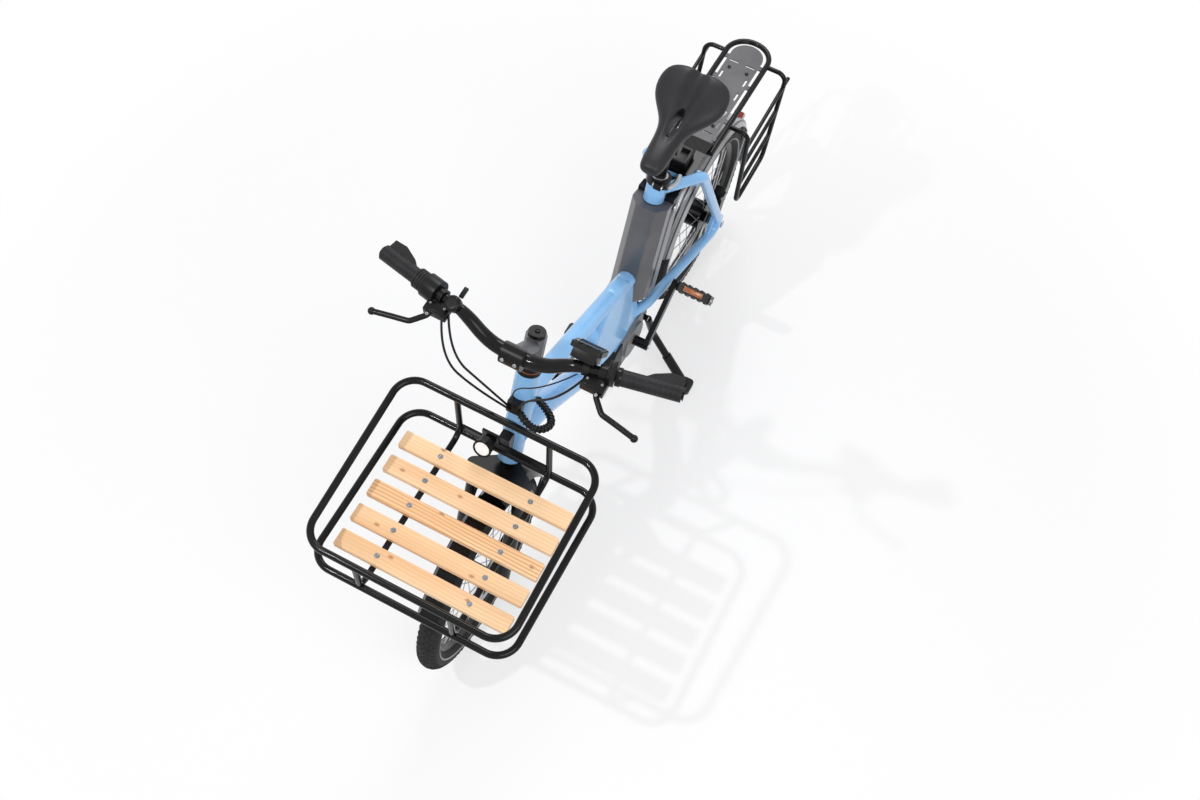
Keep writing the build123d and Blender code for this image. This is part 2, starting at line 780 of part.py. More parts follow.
def belt_loop(shrink, mode):
    """The belt's way round the chainring and the sprocket, filled, and shrunk all round."""
    with BuildSketch(side_plane(belt_y + belt_width / 2)) as loop:
        with Locations((bb_x, bb_z)):
            Circle(chainring_radius - shrink)
        with Locations((0, rear_axle_height)):
            Circle(sprocket_radius - shrink)
        make_hull()
    extrude(loop.sketch, amount=belt_width, mode=mode)


with BuildPart() as belt:
    belt_loop(0, Mode.ADD)
    belt_loop(belt_thickness - gap, Mode.SUBTRACT)
hand_in(belt, "belt")

# Front tray: two rails, two bearers, slats and the bracket to the head tube
with BuildPart() as tray_frame:
    rails = ((tray_rear_height, tray_front_height), (lower_rail_height, lower_rail_height))
    for rear_height, front_height in rails:
        run([at(tray_front, tray_half_width, front_height), at(tray_rear, tray_half_width, rear_height),
             at(tray_rear, -tray_half_width, rear_height), at(tray_front, -tray_half_width, front_height)],
            rail_radius, bend=rail_corner, loop=True)
    for side in (1, -1):
        y = side * bearer_y
        run([at(tray_rear, y, tray_rear_height), at(tray_rear, y, bearer_height),
             at(tray_front, y, bearer_height), at(tray_front, y, tray_front_height)], rail_radius - 1, bend=30)
hand_in(tray_frame, "tray_frame")

with BuildPart() as tray_slats:
    base = bearer_height + rail_radius - 1
    for number in range(slat_count):
        x = slat_rear + slat_width / 2 + number * slat_pitch
        with BuildSketch(Plane(at(x, 0, base))):
            RectangleRounded(slat_width, slat_length, 3)
        extrude(amount=slat_thickness)
hand_in(tray_slats, "tray_slats")

lamp_y = -32
bracket_height = 24
lamp_tab_height = 56
with BuildPart() as tray_bracket:
    with BuildSketch(Plane(at(tray_rear, 0, lower_rail_height + rail_radius))):
        Rectangle(6, 2 * (bearer_y - rail_radius + 1))
    extrude(amount=bracket_height)
    with BuildSketch(Plane(at(tray_rear, lamp_y, lower_rail_height + rail_radius))):
        Rectangle(6, 40)
    extrude(amount=lamp_tab_height)
    with BuildSketch(Plane(at(tray_rear - 11, 0, lower_rail_height + rail_radius))):
        Rectangle(22, 26)
    extrude(amount=lamp_tab_height)
    add(tray_frame.part, mode=Mode.SUBTRACT)
    add(frame.part, mode=Mode.SUBTRACT)
hand_in(tray_bracket, "tray_bracket")

lamp_axis = Vector(cos(radians(lamp_tilt)), 0, sin(radians(lamp_tilt)))
lamp = at(tray_rear + 3, lamp_y, lower_rail_height + 38) + lamp_axis * 36
with BuildPart() as headlight:
    with BuildSketch(Plane(lamp, x_dir=(0, 1, 0), z_dir=-lamp_axis)):
        Circle(20)
    extrude(amount=18)
    with BuildSketch(Plane(lamp - lamp_axis * 18, x_dir=(0, 1, 0), z_dir=-lamp_axis)):
        Circle(13)
    extrude(amount=30)
    add(tray_bracket.part, mode=Mode.SUBTRACT)
    with BuildSketch(Plane(at(tray_rear - 3, 0, lower_rail_height - 12), x_dir=(0, 1, 0), z_dir=(0, 0, 1))):
        with Locations((0, 30)):
            Rectangle(200, 60)
    extrude(amount=120, mode=Mode.SUBTRACT)
hand_in(headlight, "headlight")
with BuildPart() as headlight_lens:
    with BuildSketch(Plane(lamp, x_dir=(0, 1, 0), z_dir=lamp_axis)):
        Circle(17)
    extrude(amount=3)
hand_in(headlight_lens, "headlight_lens")


# Rear rack with its plate and pannier frames
def rack_height(x):
    """The height of the rack's tubes at a place forward from the rear axle."""
    share = (x - rack_rear_straight) / (rack_front - rack_rear_straight)
    return rack_rear_height + share * (rack_front_height - rack_rear_height)


rack_tail = rack_rear_straight - rack_half_width
block_low = bridge_height + bridge_half_thickness + gap
with BuildPart() as rear_rack:
    corners = [at(rack_front, rack_half_width, rack_front_height),
               at(rack_tail, rack_half_width, rack_height(rack_tail)),
               at(rack_tail, -rack_half_width, rack_height(rack_tail)),
               at(rack_front, -rack_half_width, rack_front_height)]
    run(corners, rack_tube_radius, bend=rack_half_width - 1)
    with BuildSketch(side_plane()):
        with BuildLine():
            Polyline((226, block_low), (226, block_low + 12), (150, block_low + 12),
                     (100, rack_front_height + 10), (100, rack_front_height - 10),
                     (180, rack_front_height - 6), (190, block_low), close=True)
        make_face()
    extrude(amount=rack_half_width - 4, both=True)
    add(frame.part, mode=Mode.SUBTRACT)
hand_in(rear_rack, "rear_rack")

tab_places = (-196, -120, 10, 76)
cross_slots = [(-186, 22), (-186, -22), (66, 22), (66, -22)]
long_slots = [(-130, 33), (-130, -33), (-76, 33), (-76, -33), (-10, 33), (-10, -33), (30, 33), (30, -33)]
slot_length = 26
slot_width = 5
with BuildPart() as rack_plate:
    slope = atan2(rack_front_height - rack_rear_height, rack_front - rack_rear_straight)
    origin = at(0, 0, rack_height(0) - plate_thickness / 2)
    with BuildSketch(Plane(origin, x_dir=(cos(slope), 0, sin(slope)), z_dir=(-sin(slope), 0, cos(slope)))):
        with Locations(((plate_front + rack_rear_straight) / 2, 0)):
            Rectangle(plate_front - rack_rear_straight, 2 * plate_half_width)
        with Locations((rack_rear_straight, 0)):
            Circle(plate_half_width)
        for x in tab_places:
            with Locations((x, 0)):
                Rectangle(14, 2 * rack_half_width)
        with Locations(*cross_slots):
            SlotOverall(slot_length, slot_width, rotation=90, mode=Mode.SUBTRACT)
        with Locations(*long_slots):
            SlotOverall(slot_length, slot_width, mode=Mode.SUBTRACT)
    extrude(amount=plate_thickness)
    add(rear_rack.part, mode=Mode.SUBTRACT)
hand_in(rack_plate, "rack_plate")

rail_tip = -236
rung_shares = (0.06, 0.36, 0.68)
with BuildPart() as pannier_frames:
    for side in (1, -1):
        y = side * pannier_y
        front_top = rack_height(pannier_front) - 2
        rear_top = rack_height(pannier_rear) - 2
        inboard = side * (rack_half_width + 3)
        run([at(pannier_front, inboard, front_top), at(pannier_front, y, front_top),
             at(pannier_front, y, pannier_low), at(pannier_low_rear, y, pannier_low),
             at(pannier_rear, y, rear_top), at(pannier_rear, inboard, rear_top)],
            pannier_tube_radius, bend=24)
        for share in rung_shares:
            drop = rear_top - 20 - share * (rear_top - 20 - pannier_low)
            fall = (rear_top - drop) / (rear_top - pannier_low)
            lean = pannier_rear + fall * (pannier_low_rear - pannier_rear)
            end = rail_tip if share == rung_shares[0] else lean
            run([at(end, y, drop), at(pannier_front, y, drop)], pannier_tube_radius - 1)
    add(rear_rack.part, mode=Mode.SUBTRACT)
hand_in(pannier_frames, "pannier_frames")

# Two-legged stand with its bracket under the frame
with BuildPart() as stand_bracket:
    with BuildSketch(side_plane()):
        with BuildLine():
            Polyline((stand_x - 16, stand_z - 16), (stand_x + 20, stand_z - 16), (stand_x + 52.7, 290),
                     (stand_x + 52.7, 363.7), (stand_x + 40, 363.7), (stand_x - 16, stand_z + 22), close=True)
        make_face()
    extrude(amount=24, both=True)
    disc_between(at(stand_x, 0, stand_z), 8 + bore_fit, -40, 40, mode=Mode.SUBTRACT)
hand_in(stand_bracket, "stand_bracket")

with BuildPart() as stand:
    disc_between(at(stand_x, 0, stand_z), 8, -36, 36)
    for side in (1, -1):
        run([at(stand_x, side * 36, stand_z), at(stand_knee_x, side * stand_knee_y, stand_knee_z),
             at(stand_foot_x, side * stand_foot_y, 12)], stand_tube_radius, bend=30)
        knee = at(stand_knee_x, side * stand_knee_y, stand_knee_z)
        shin = at(stand_foot_x, side * stand_foot_y, 12) - knee
        run([knee + shin * 0.42, knee + shin * 0.9], stand_sleeve_radius)
        with BuildSketch(Plane(at(stand_foot_x, side * (stand_foot_y + 4), 0))):
            RectangleRounded(46, 34, 10)
        extrude(amount=14)
hand_in(stand, "stand")

# Belt guard on the right
guard_y = -66
with BuildPart() as belt_guard:
    with BuildSketch(side_plane(guard_y)):
        with BuildLine():
            Polyline((bb_x, 371), (330, 371), (262, 322), (215, 312), (215, 236), (bb_x, 244), close=True)
        make_face()
        with Locations((bb_x, bb_z)):
            Circle(61)
            Circle(20, mode=Mode.SUBTRACT)
    extrude(amount=4)
    with BuildSketch(side_plane(guard_y)):
        with Locations((420, 368.5)):
            Rectangle(50, 5)
    extrude(amount=guard_y + 36 + gap)
    add(frame.part, mode=Mode.SUBTRACT)
hand_in(belt_guard, "belt_guard")

# Brake calipers
with BuildPart() as rear_caliper:
    with BuildSketch(side_plane(64)):
        with Locations((-26, 336)):
            RectangleRounded(44, 46, 10)
    extrude(amount=26)
    with BuildSketch(side_plane(50 + 2.2)):
        with Locations((0, rear_axle_height)):
            Circle(disc_radius + 4)
    extrude(amount=4.4, mode=Mode.SUBTRACT)
    with BuildSketch(side_plane(dropout_y - dropout_thickness / 2)):
        with BuildLine():
            Polyline((-40, 350), (-10, 350), (8, rear_axle_height + 19), (-16, rear_axle_height + 19),
                     close=True)
        make_face()
    extrude(amount=5)
hand_in(rear_caliper, "rear_caliper")

with BuildPart() as front_caliper:
    with BuildSketch(side_plane(46)):
        with Locations((wheelbase - 62, tyre_radius + 60)):
            RectangleRounded(44, 46, 10)
    extrude(amount=20.5)
    with BuildSketch(side_plane(31 + 2.2)):
        with Locations((wheelbase, tyre_radius)):
            Circle(disc_radius + 4)
    extrude(amount=4.4, mode=Mode.SUBTRACT)
    with BuildSketch(side_plane(46)):
        with Locations((wheelbase - 48, tyre_radius + 60)):
            Rectangle(60, 30)
    extrude(amount=-14)
    add(fork.part, mode=Mode.SUBTRACT)
hand_in(front_caliper, "front_caliper")

# Rear light on the guard
with BuildPart() as rear_light:
    behind = Vector(cos(radians(150)), 0, sin(radians(150)))
    with BuildSketch(Plane(rear_axle + behind * (fender_outer + gap), x_dir=(0, 1, 0), z_dir=behind)):
        RectangleRounded(28, 40, 8)
    extrude(amount=16)
hand_in(rear_light, "rear_light")

# Twist shifter on the right
shifter_radius = 24
shifter_gap = 0.5
shifter_start = lever_place + lever_clamp_width + shifter_gap
with BuildPart() as shifter:
    with BuildSketch(bar_plane(-shifter_start)):
        Circle(shifter_radius)
    extrude(amount=grip_start - shifter_start - shifter_gap)
    fillet(faces().filter_by(GeomType.PLANE).edges(), 5)
    with BuildSketch(bar_plane(8.5 - shifter_start)):
        Circle(bar_radius + bore_fit)
    extrude(amount=40, mode=Mode.SUBTRACT)
    add(brake_levers.part, mode=Mode.SUBTRACT)
hand_in(shifter, "shifter")

# Cable guide on the head tube, and the cables from the handlebar to it
guide_along = head_high - guide_below_head
with BuildPart() as cable_guide:
    with BuildSketch(steer_plane(guide_along, forward=head_radius + 8)):
        RectangleRounded(24, 34, 5)
    extrude(amount=26)
    add(frame.part, mode=Mode.SUBTRACT)
    add(tray_bracket.part, mode=Mode.SUBTRACT)
hand_in(cable_guide, "cable_guide")

guide_front = head_radius + 20
cable_routes = [  # radius, bend, points
    (2.5, 40, [bar_point(-150) + Vector(20, 0, -12), bar_point(-135) + Vector(70, 14, -62),
               steer(96, -52, 640), steer(guide_front, -12, guide_along + 16)]),
    (2.5, 40, [bar_point(-166) + Vector(22, 0, -16), bar_point(-150) + Vector(84, 10, -70),
               steer(104, -62, 625), steer(guide_front, -5, guide_along + 8)]),
    (2.5, 40, [bar_point(150) + Vector(20, 0, -12), bar_point(120) + Vector(58, 0, -54),
               steer(84, 30, 640), steer(guide_front, 12, guide_along + 17)]),
    (1.5, 40, [bar_point(136) + Vector(14, 0, -6), bar_point(90) + Vector(48, 0, -40),
               steer(92, -6, 660), steer(guide_front, 3, guide_along + 19)]),
    (7, 26, [steer(guide_front - 6, 15, guide_along + 5), steer(66, 66, guide_along),
             steer(10, 84, guide_along - 6), steer(-27, 22, guide_along - 4)]),
]
with BuildPart() as cables:
    for radius, bend, points in cable_routes:
        run(points, radius, bend=bend)
    for fixed in (frame, cable_guide, brake_levers, display, shifter):
        add(fixed.part, mode=Mode.SUBTRACT)
hand_in(cables, "cables")
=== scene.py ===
"""Dresses the electric cargo bike: finishes for its CAD nodes and the small pieces fitted to them.

Metres, in the CAD model's own frame: +X forward, +Y the rider's left, +Z up, the floor at zero.
"""
import logging
import math
from dataclasses import dataclass
from enum import Enum
from typing import Any, Iterable, Sequence

import bmesh
import bpy
from mathutils import Matrix, Vector

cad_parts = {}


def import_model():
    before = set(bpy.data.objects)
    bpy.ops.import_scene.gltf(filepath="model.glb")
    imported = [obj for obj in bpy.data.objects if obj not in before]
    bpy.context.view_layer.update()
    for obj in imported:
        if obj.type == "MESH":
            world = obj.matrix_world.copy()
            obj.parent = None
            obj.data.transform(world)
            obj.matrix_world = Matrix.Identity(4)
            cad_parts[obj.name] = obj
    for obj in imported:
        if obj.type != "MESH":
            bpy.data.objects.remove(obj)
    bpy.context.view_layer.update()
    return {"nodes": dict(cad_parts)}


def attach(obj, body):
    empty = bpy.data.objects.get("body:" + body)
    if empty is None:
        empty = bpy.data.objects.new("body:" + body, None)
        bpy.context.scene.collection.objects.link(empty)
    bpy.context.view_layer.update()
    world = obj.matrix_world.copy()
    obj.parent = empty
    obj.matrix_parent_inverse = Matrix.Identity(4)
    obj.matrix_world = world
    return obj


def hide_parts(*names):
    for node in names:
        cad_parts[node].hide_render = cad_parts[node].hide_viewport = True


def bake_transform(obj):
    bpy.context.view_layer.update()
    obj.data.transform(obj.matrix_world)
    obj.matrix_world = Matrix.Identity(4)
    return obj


log = logging.getLogger("cargo_bike")

Colour = tuple[float, float, float, float]
Triple = tuple[float, float, float]

LEFT = Vector((0, 1, 0))
RIGHT = Vector((0, -1, 0))
UP = Vector((0, 0, 1))
BOTH_SIDES = (1, -1)
WHITE = (1, 1, 1, 1)


class Rider(Enum):
    """The moving bodies that a piece can ride on."""

    FRAME = "frame"
    STEERING = "steering"
    FRONT_WHEEL = "front_wheel"
    REAR_WHEEL = "rear_wheel"
    CRANKS = "cranks"
    PEDAL_LEFT = "pedal_left"
    PEDAL_RIGHT = "pedal_right"
    STAND = "stand"


class Space(Enum):
    """The directions in which a place can be given."""

    FLOOR = "forward from the rear axle, left, and up from the floor"
    HEAD = "forward, left and along the steering head"
    SEAT_TUBE = "forward, left and along the seat tube"


def paint(red: int, green: int, blue: int) -> Colour:
    """Turns a screen colour, each channel from 0 to 255, into the shader's linear colour."""

    def linear(channel: int) -> float:
        """One channel made linear."""
        share = channel / 255
        return share / 12.92 if share <= 0.04045 else ((share + 0.055) / 1.055) ** 2.4

    return linear(red), linear(green), linear(blue), 1.0


@dataclass(frozen=True)
class Layout:
    """The bike's main places, repeated from the CAD source, in metres.

    Forward places are counted from the rear axle, as in the CAD source.
    """

    middle: float = 0.584984
    head_foot_x: float = 1.132294
    head_foot_z: float = 0.243648
    head_angle: float = math.radians(70.5)
    bracket_x: float = 0.458
    bracket_z: float = 0.305
    seat_angle: float = math.radians(71.4)
    wheelbase: float = 1.170
    tyre_radius: float = 0.257
    tyre_section: float = 0.027
    rear_lift: float = 0.003
    head_high: float = 0.640
    bar_forward: float = 0.104
    bar_rise: float = 0.765
    bar_half_width: float = 0.336
    bar_bend: float = 0.125
    bar_set_back: float = 0.002
    bar_bend_rise: float = 0.044
    bar_sweep: float = 0.048
    bar_tip_rise: float = 0.008

    def at(self, forward: float, left: float, up: float) -> Vector:
        """A point given forward from the rear axle, to the left and up from the floor."""
        return Vector((forward - self.middle, left, up))

    def steer(self, forward: float, left: float, along: float) -> Vector:
        """A point given in the steering head's own directions."""
        sine, cosine = math.sin(self.head_angle), math.cos(self.head_angle)
        return self.at(self.head_foot_x + forward * sine - along * cosine, left,
                       self.head_foot_z + forward * cosine + along * sine)

    def seat(self, forward: float, left: float, along: float) -> Vector:
        """A point given in the seat tube's own directions."""
        sine, cosine = math.sin(self.seat_angle), math.cos(self.seat_angle)
        return self.at(self.bracket_x + forward * sine - along * cosine, left,
                       self.bracket_z + forward * cosine + along * sine)

    def spot(self, space: Space, place: Triple) -> Vector:
        """A point given in any of the directions."""
        return {Space.FLOOR: self.at, Space.HEAD: self.steer, Space.SEAT_TUBE: self.seat}[space](*place)

    def way(self, space: Space, direction: Triple) -> Vector:
        """A direction given in any of the directions, with a length of 1."""
        return (self.spot(space, direction) - self.spot(space, (0, 0, 0))).normalized()

    def bar(self, left: float) -> Vector:
        """The handlebar's centre at a place to the left, on its straight outer run."""
        share = (abs(left) - self.bar_bend) / (self.bar_half_width - self.bar_bend)
        return self.steer(self.bar_forward - self.bar_set_back - share * self.bar_sweep, left,
                          self.bar_rise + self.bar_bend_rise + share * self.bar_tip_rise)

    @property
    def front_axle(self) -> Vector:
        """The front wheel's centre."""
        return self.at(self.wheelbase, 0, self.tyre_radius)

    @property
    def rear_axle(self) -> Vector:
        """The rear wheel's centre."""
        return self.at(0, 0, self.tyre_radius + self.rear_lift)


class Wire:
    """A shader value that takes part in Python arithmetic."""

    def __init__(self, graph: "Graph", socket: bpy.types.NodeSocket) -> None:
        """Keeps the socket and the graph that it belongs to."""
        self.graph = graph
        self.socket = socket

    def _combine(self, operation: str, first: Any, second: Any) -> "Wire":
        """Adds one Math node on two values."""
        return self.graph.node("ShaderNodeMath", {"operation": operation}, {0: first, 1: second})

    def __add__(self, other: Any) -> "Wire":
        """Sum."""
        return self._combine("ADD", self, other)

    __radd__ = __add__

    def __sub__(self, other: Any) -> "Wire":
        """Difference."""
        return self._combine("SUBTRACT", self, other)

    def __rsub__(self, other: Any) -> "Wire":
        """Difference taken from a number."""
        return self._combine("SUBTRACT", other, self)

    def __mul__(self, other: Any) -> "Wire":
        """Product."""
        return self._combine("MULTIPLY", self, other)

    __rmul__ = __mul__

    def __gt__(self, other: Any) -> "Wire":
        """1 where this is the larger, and otherwise 0."""
        return self._combine("GREATER_THAN", self, other)

    def __lt__(self, other: Any) -> "Wire":
        """1 where this is the smaller, and otherwise 0."""
        return self._combine("LESS_THAN", self, other)

    def __abs__(self) -> "Wire":
        """Size without its sign."""
        return self.graph.node("ShaderNodeMath", {"operation": "ABSOLUTE"}, {0: self})

    def sine(self) -> "Wire":
        """The sine of an angle in radians."""
        return self.graph.node("ShaderNodeMath", {"operation": "SINE"}, {0: self})


class Graph:
    """A node tree, to which every node is added in the same way."""

    def __init__(self, tree: bpy.types.NodeTree) -> None:
        """Keeps the tree."""
        self.tree = tree

    def plug(self, node: bpy.types.Node, key: Any, value: Any) -> None:
        """Sets or links one input of a node.

        Args:
            node: The node.
            key: The input's name or number.
            value: A plain value, or a wire to link.
        """
        if isinstance(value, Wire):
            self.tree.links.new(value.socket, node.inputs[key])
        else:
            node.inputs[key].default_value = value

    def node(self, kind: str, settings: dict[str, Any], sockets: dict[Any, Any], output: Any = 0) -> Wire:
        """Adds a node.

        Args:
            kind: The node's type.
            settings: Its properties, which are set first.
            sockets: Values or links of its inputs, by name or number.
            output: Which output is wanted.

        Returns:
            The wanted output.
        """
        made = self.tree.nodes.new(kind)
        for key, value in settings.items():
            setattr(made, key, value)
        for key, value in sockets.items():
            self.plug(made, key, value)
        return Wire(self, made.outputs[output])

    def seen(self) -> Wire:
        """Tells the rays that show a thing from those that only light it.

        Returns:
            1 for rays from the camera, from a mirror or through glass, and otherwise 0.
        """
        total = self.node("ShaderNodeLightPath", {}, {}, "Is Camera Ray")
        for name in ("Is Glossy Ray", "Is Transmission Ray"):
            ray = self.node("ShaderNodeLightPath", {}, {}, name)
            total = self.node("ShaderNodeMath", {"operation": "MAXIMUM"}, {0: total, 1: ray})
        return total


class Shader(Graph):
    """One node material, with its Principled shader."""

    def __init__(self, name: str) -> None:
        """Starts a material.

        Args:
            name: The material's name.
        """
        self.material = bpy.data.materials.new(name)
        self.material.use_nodes = True
        super().__init__(self.material.node_tree)
        self.surface = self.tree.nodes["Principled BSDF"]

    def place(self, stretch: Triple = (1, 1, 1)) -> Wire:
        """Object coordinates, scaled by stretch."""
        spot = self.node("ShaderNodeTexCoord", {}, {}, "Object")
        return self.node("ShaderNodeMapping", {}, {"Vector": spot, "Scale": stretch})

    def axis(self, letter: str) -> Wire:
        """One object coordinate, in metres."""
        spot = self.node("ShaderNodeTexCoord", {}, {}, "Object")
        return self.node("ShaderNodeSeparateXYZ", {}, {0: spot}, letter)

    def noise(self, scale: float, detail: float = 3, stretch: Triple = (1, 1, 1)) -> Wire:
        """Soft noise from 0 to 1."""
        return self.node("ShaderNodeTexNoise", {},
                         {"Vector": self.place(stretch), "Scale": scale, "Detail": detail}, "Fac")

    def steps(self, value: Wire, low: float, high: float) -> Wire:
        """Spreads a value between two limits over 0 to 1, smoothly."""
        return self.node("ShaderNodeMapRange", {"interpolation_type": "SMOOTHSTEP"},
                         {"Value": value, "From Min": low, "From Max": high})

    def mix(self, share: Wire, first: Any, second: Any) -> Wire:
        """Mixes two colours."""
        return self.node("ShaderNodeMix", {"data_type": "RGBA"}, {0: share, 6: first, 7: second}, 2)

    def put(self, name: str, value: Any) -> None:
        """Sets or links one input of the Principled shader."""
        self.plug(self.surface, name, value)

    def relief(self, height: Wire, depth: float) -> None:
        """Feeds a height, from 0 to 1 for a depth in metres, to the surface's normal."""
        bump = self.node("ShaderNodeBump", {}, {"Height": height, "Distance": depth, "Strength": 1.0})
        self.put("Normal", bump)


@dataclass(frozen=True)
class Finish:
    """A surface with a slight play of colour and gloss and a fine grain."""

    name: str
    colour: Colour
    deep: Colour
    roughness: float = 0.4
    spread: float = 0.06
    metallic: float = 0.0
    coat: float = 0.0
    mottle_scale: float = 14
    grain_scale: float = 900
    grain_depth: float = 0.00005
    specular: float = 0.5
    stretch: Triple = (1, 1, 1)

    @property
    def title(self) -> str:
        """The material's name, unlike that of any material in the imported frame."""
        return f"{self.name}_finish"

    def base(self, shader: Shader) -> Any:
        """The surface's colour, as a link."""
        return shader.mix(shader.steps(shader.noise(self.mottle_scale, 4), 0.3, 0.7), self.colour, self.deep)

    def height(self, shader: Shader) -> Wire:
        """The fine relief, from 0 to 1."""
        return shader.noise(self.grain_scale, 2, self.stretch)

    def make(self) -> bpy.types.Material:
        """Builds the material.

        Returns:
            The new material.
        """
        shader = Shader(self.title)
        shader.put("Base Color", self.base(shader))
        play = shader.noise(60, 4, self.stretch) * (2 * self.spread)
        shader.put("Roughness", self.roughness - self.spread + play)
        shader.put("Metallic", self.metallic)
        shader.put("Coat Weight", self.coat)
        shader.put("Coat Roughness", 0.06)
        shader.put("Specular IOR Level", self.specular)
        shader.relief(self.height(shader), self.grain_depth)
        return shader.material


@dataclass(frozen=True)
class WoodFinish(Finish):
    """Oiled pine with its grain along the slat, a few knots, and one slat of straight strong grain."""

    knot: Colour = (0.2, 0.1, 0.04, 1)
    pitch: float = 0.0644
    first: float = 0.508
    strong_slat: int = 2

    def slat(self, shader: Shader) -> Wire:
        """The slat's number, counted from the rear."""
        return shader.node("ShaderNodeMath", {"operation": "FLOOR"},
                           {0: (shader.axis("X") - self.first) * (1 / self.pitch)})

    def knots(self, shader: Shader) -> Wire:
        """Soft dark knots, from 0 to 1, in some of the cells of a coarse net."""
        net = {"Vector": shader.place((1, 0.6, 1)), "Scale": 15.0}
        flat = {"voronoi_dimensions": "2D"}
        near = shader.node("ShaderNodeTexVoronoi", flat, net, "Distance")
        pick = shader.node("ShaderNodeTexVoronoi", flat, net, "Color")
        chosen = shader.node("ShaderNodeSeparateColor", {}, {0: pick}, 0) > 0.3
        return (1 - shader.steps(near, 0.01, 0.09)) * chosen

    def rings(self, shader: Shader) -> Wire:
        """The growth lines, from 0 to 1, bent round the knots."""
        drift = shader.noise(6, 3, (1, 0.28, 1))
        phase = shader.axis("X") * 760 + shader.axis("Z") * 300 + self.slat(shader) * 7.3
        weave = phase + drift * 26 + self.knots(shader) * 4
        return (weave.sine() + 1) * 0.5

    def base(self, shader: Shader) -> Any:
        """Pale wood with darker growth lines, broad drift and knots."""
        strong = abs(self.slat(shader) - self.strong_slat) < 0.5
        lines = shader.steps(self.rings(shader), 0.5, 1.0) * (0.28 + strong * 0.72)
        grain = shader.mix(lines, self.colour, self.deep)
        broad = shader.steps(shader.noise(8, 4, (1.6, 0.2, 1)), 0.42, 0.75)
        drifted = shader.mix(broad * 0.5, grain, self.deep)
        return shader.mix(self.knots(shader) * 0.75, drifted, self.knot)

    def height(self, shader: Shader) -> Wire:
        """Fine fibres along the slat and the raised growth lines."""
        return shader.noise(420, 3, (1, 0.06, 1)) * 0.6 + self.rings(shader) * 0.4


@dataclass(frozen=True)
class BandedFinish(Finish):
    """A finish with a second colour in bands or past a line along one axis."""

    band: Colour = (0.02, 0.02, 0.02, 1)
    letter: str = "X"
    edges: tuple[tuple[float, float], ...] = ()
    mirrored: bool = False

    def base(self, shader: Shader) -> Any:
        """The first colour with the bands laid over it."""
        ground = super().base(shader)
        place = shader.axis(self.letter)
        if self.mirrored:
            place = abs(place)
        for low, high in self.edges:
            ground = shader.mix((place > low) * (place < high), ground, self.band)
        return ground


@dataclass(frozen=True)
class WheelFinish(Finish):
    """A finish with a second colour in rings about a wheel's centre."""

    centre: tuple[float, float] = (0, 0)
    band: Colour = (0.02, 0.02, 0.02, 1)
    low: float = 0.0
    high: float = 0.0

    def base(self, shader: Shader) -> Any:
        """The first colour with the ring laid over it."""
        forward = shader.axis("X") - self.centre[0]
        up = shader.axis("Z") - self.centre[1]
        square = forward * forward + up * up
        ring = (square > self.low ** 2) * (square < self.high ** 2)
        return shader.mix(ring, super().base(shader), self.band)


@dataclass(frozen=True)
class RibbedFinish(Finish):
    """Soft rubber with moulded ribs across one axis."""

    letter: str = "Y"
    ribs_per_metre: float = 110

    def height(self, shader: Shader) -> Wire:
        """Rounded ribs with a slight grain."""
        drift = shader.axis("X") * 0.5
        wave = ((shader.axis(self.letter) + drift) * (self.ribs_per_metre * 2 * math.pi)).sine()
        return shader.steps(wave, -0.2, 0.6) * 0.9 + shader.noise(self.grain_scale, 2) * 0.1


@dataclass(frozen=True)
class GrainedFinish(Finish):
    """Moulded cover with a fine leather-like grain."""

    def height(self, shader: Shader) -> Wire:
        """Small rounded cells."""
        cells = {"Vector": shader.place(), "Scale": self.grain_scale}
        return shader.node("ShaderNodeTexVoronoi", {}, cells, "Distance")


BLACK = paint(15, 15, 17)
DEEP_BLACK = paint(9, 9, 10)
FRONT = (0.585016, 0.257)
REAR = (-0.584984, 0.260)


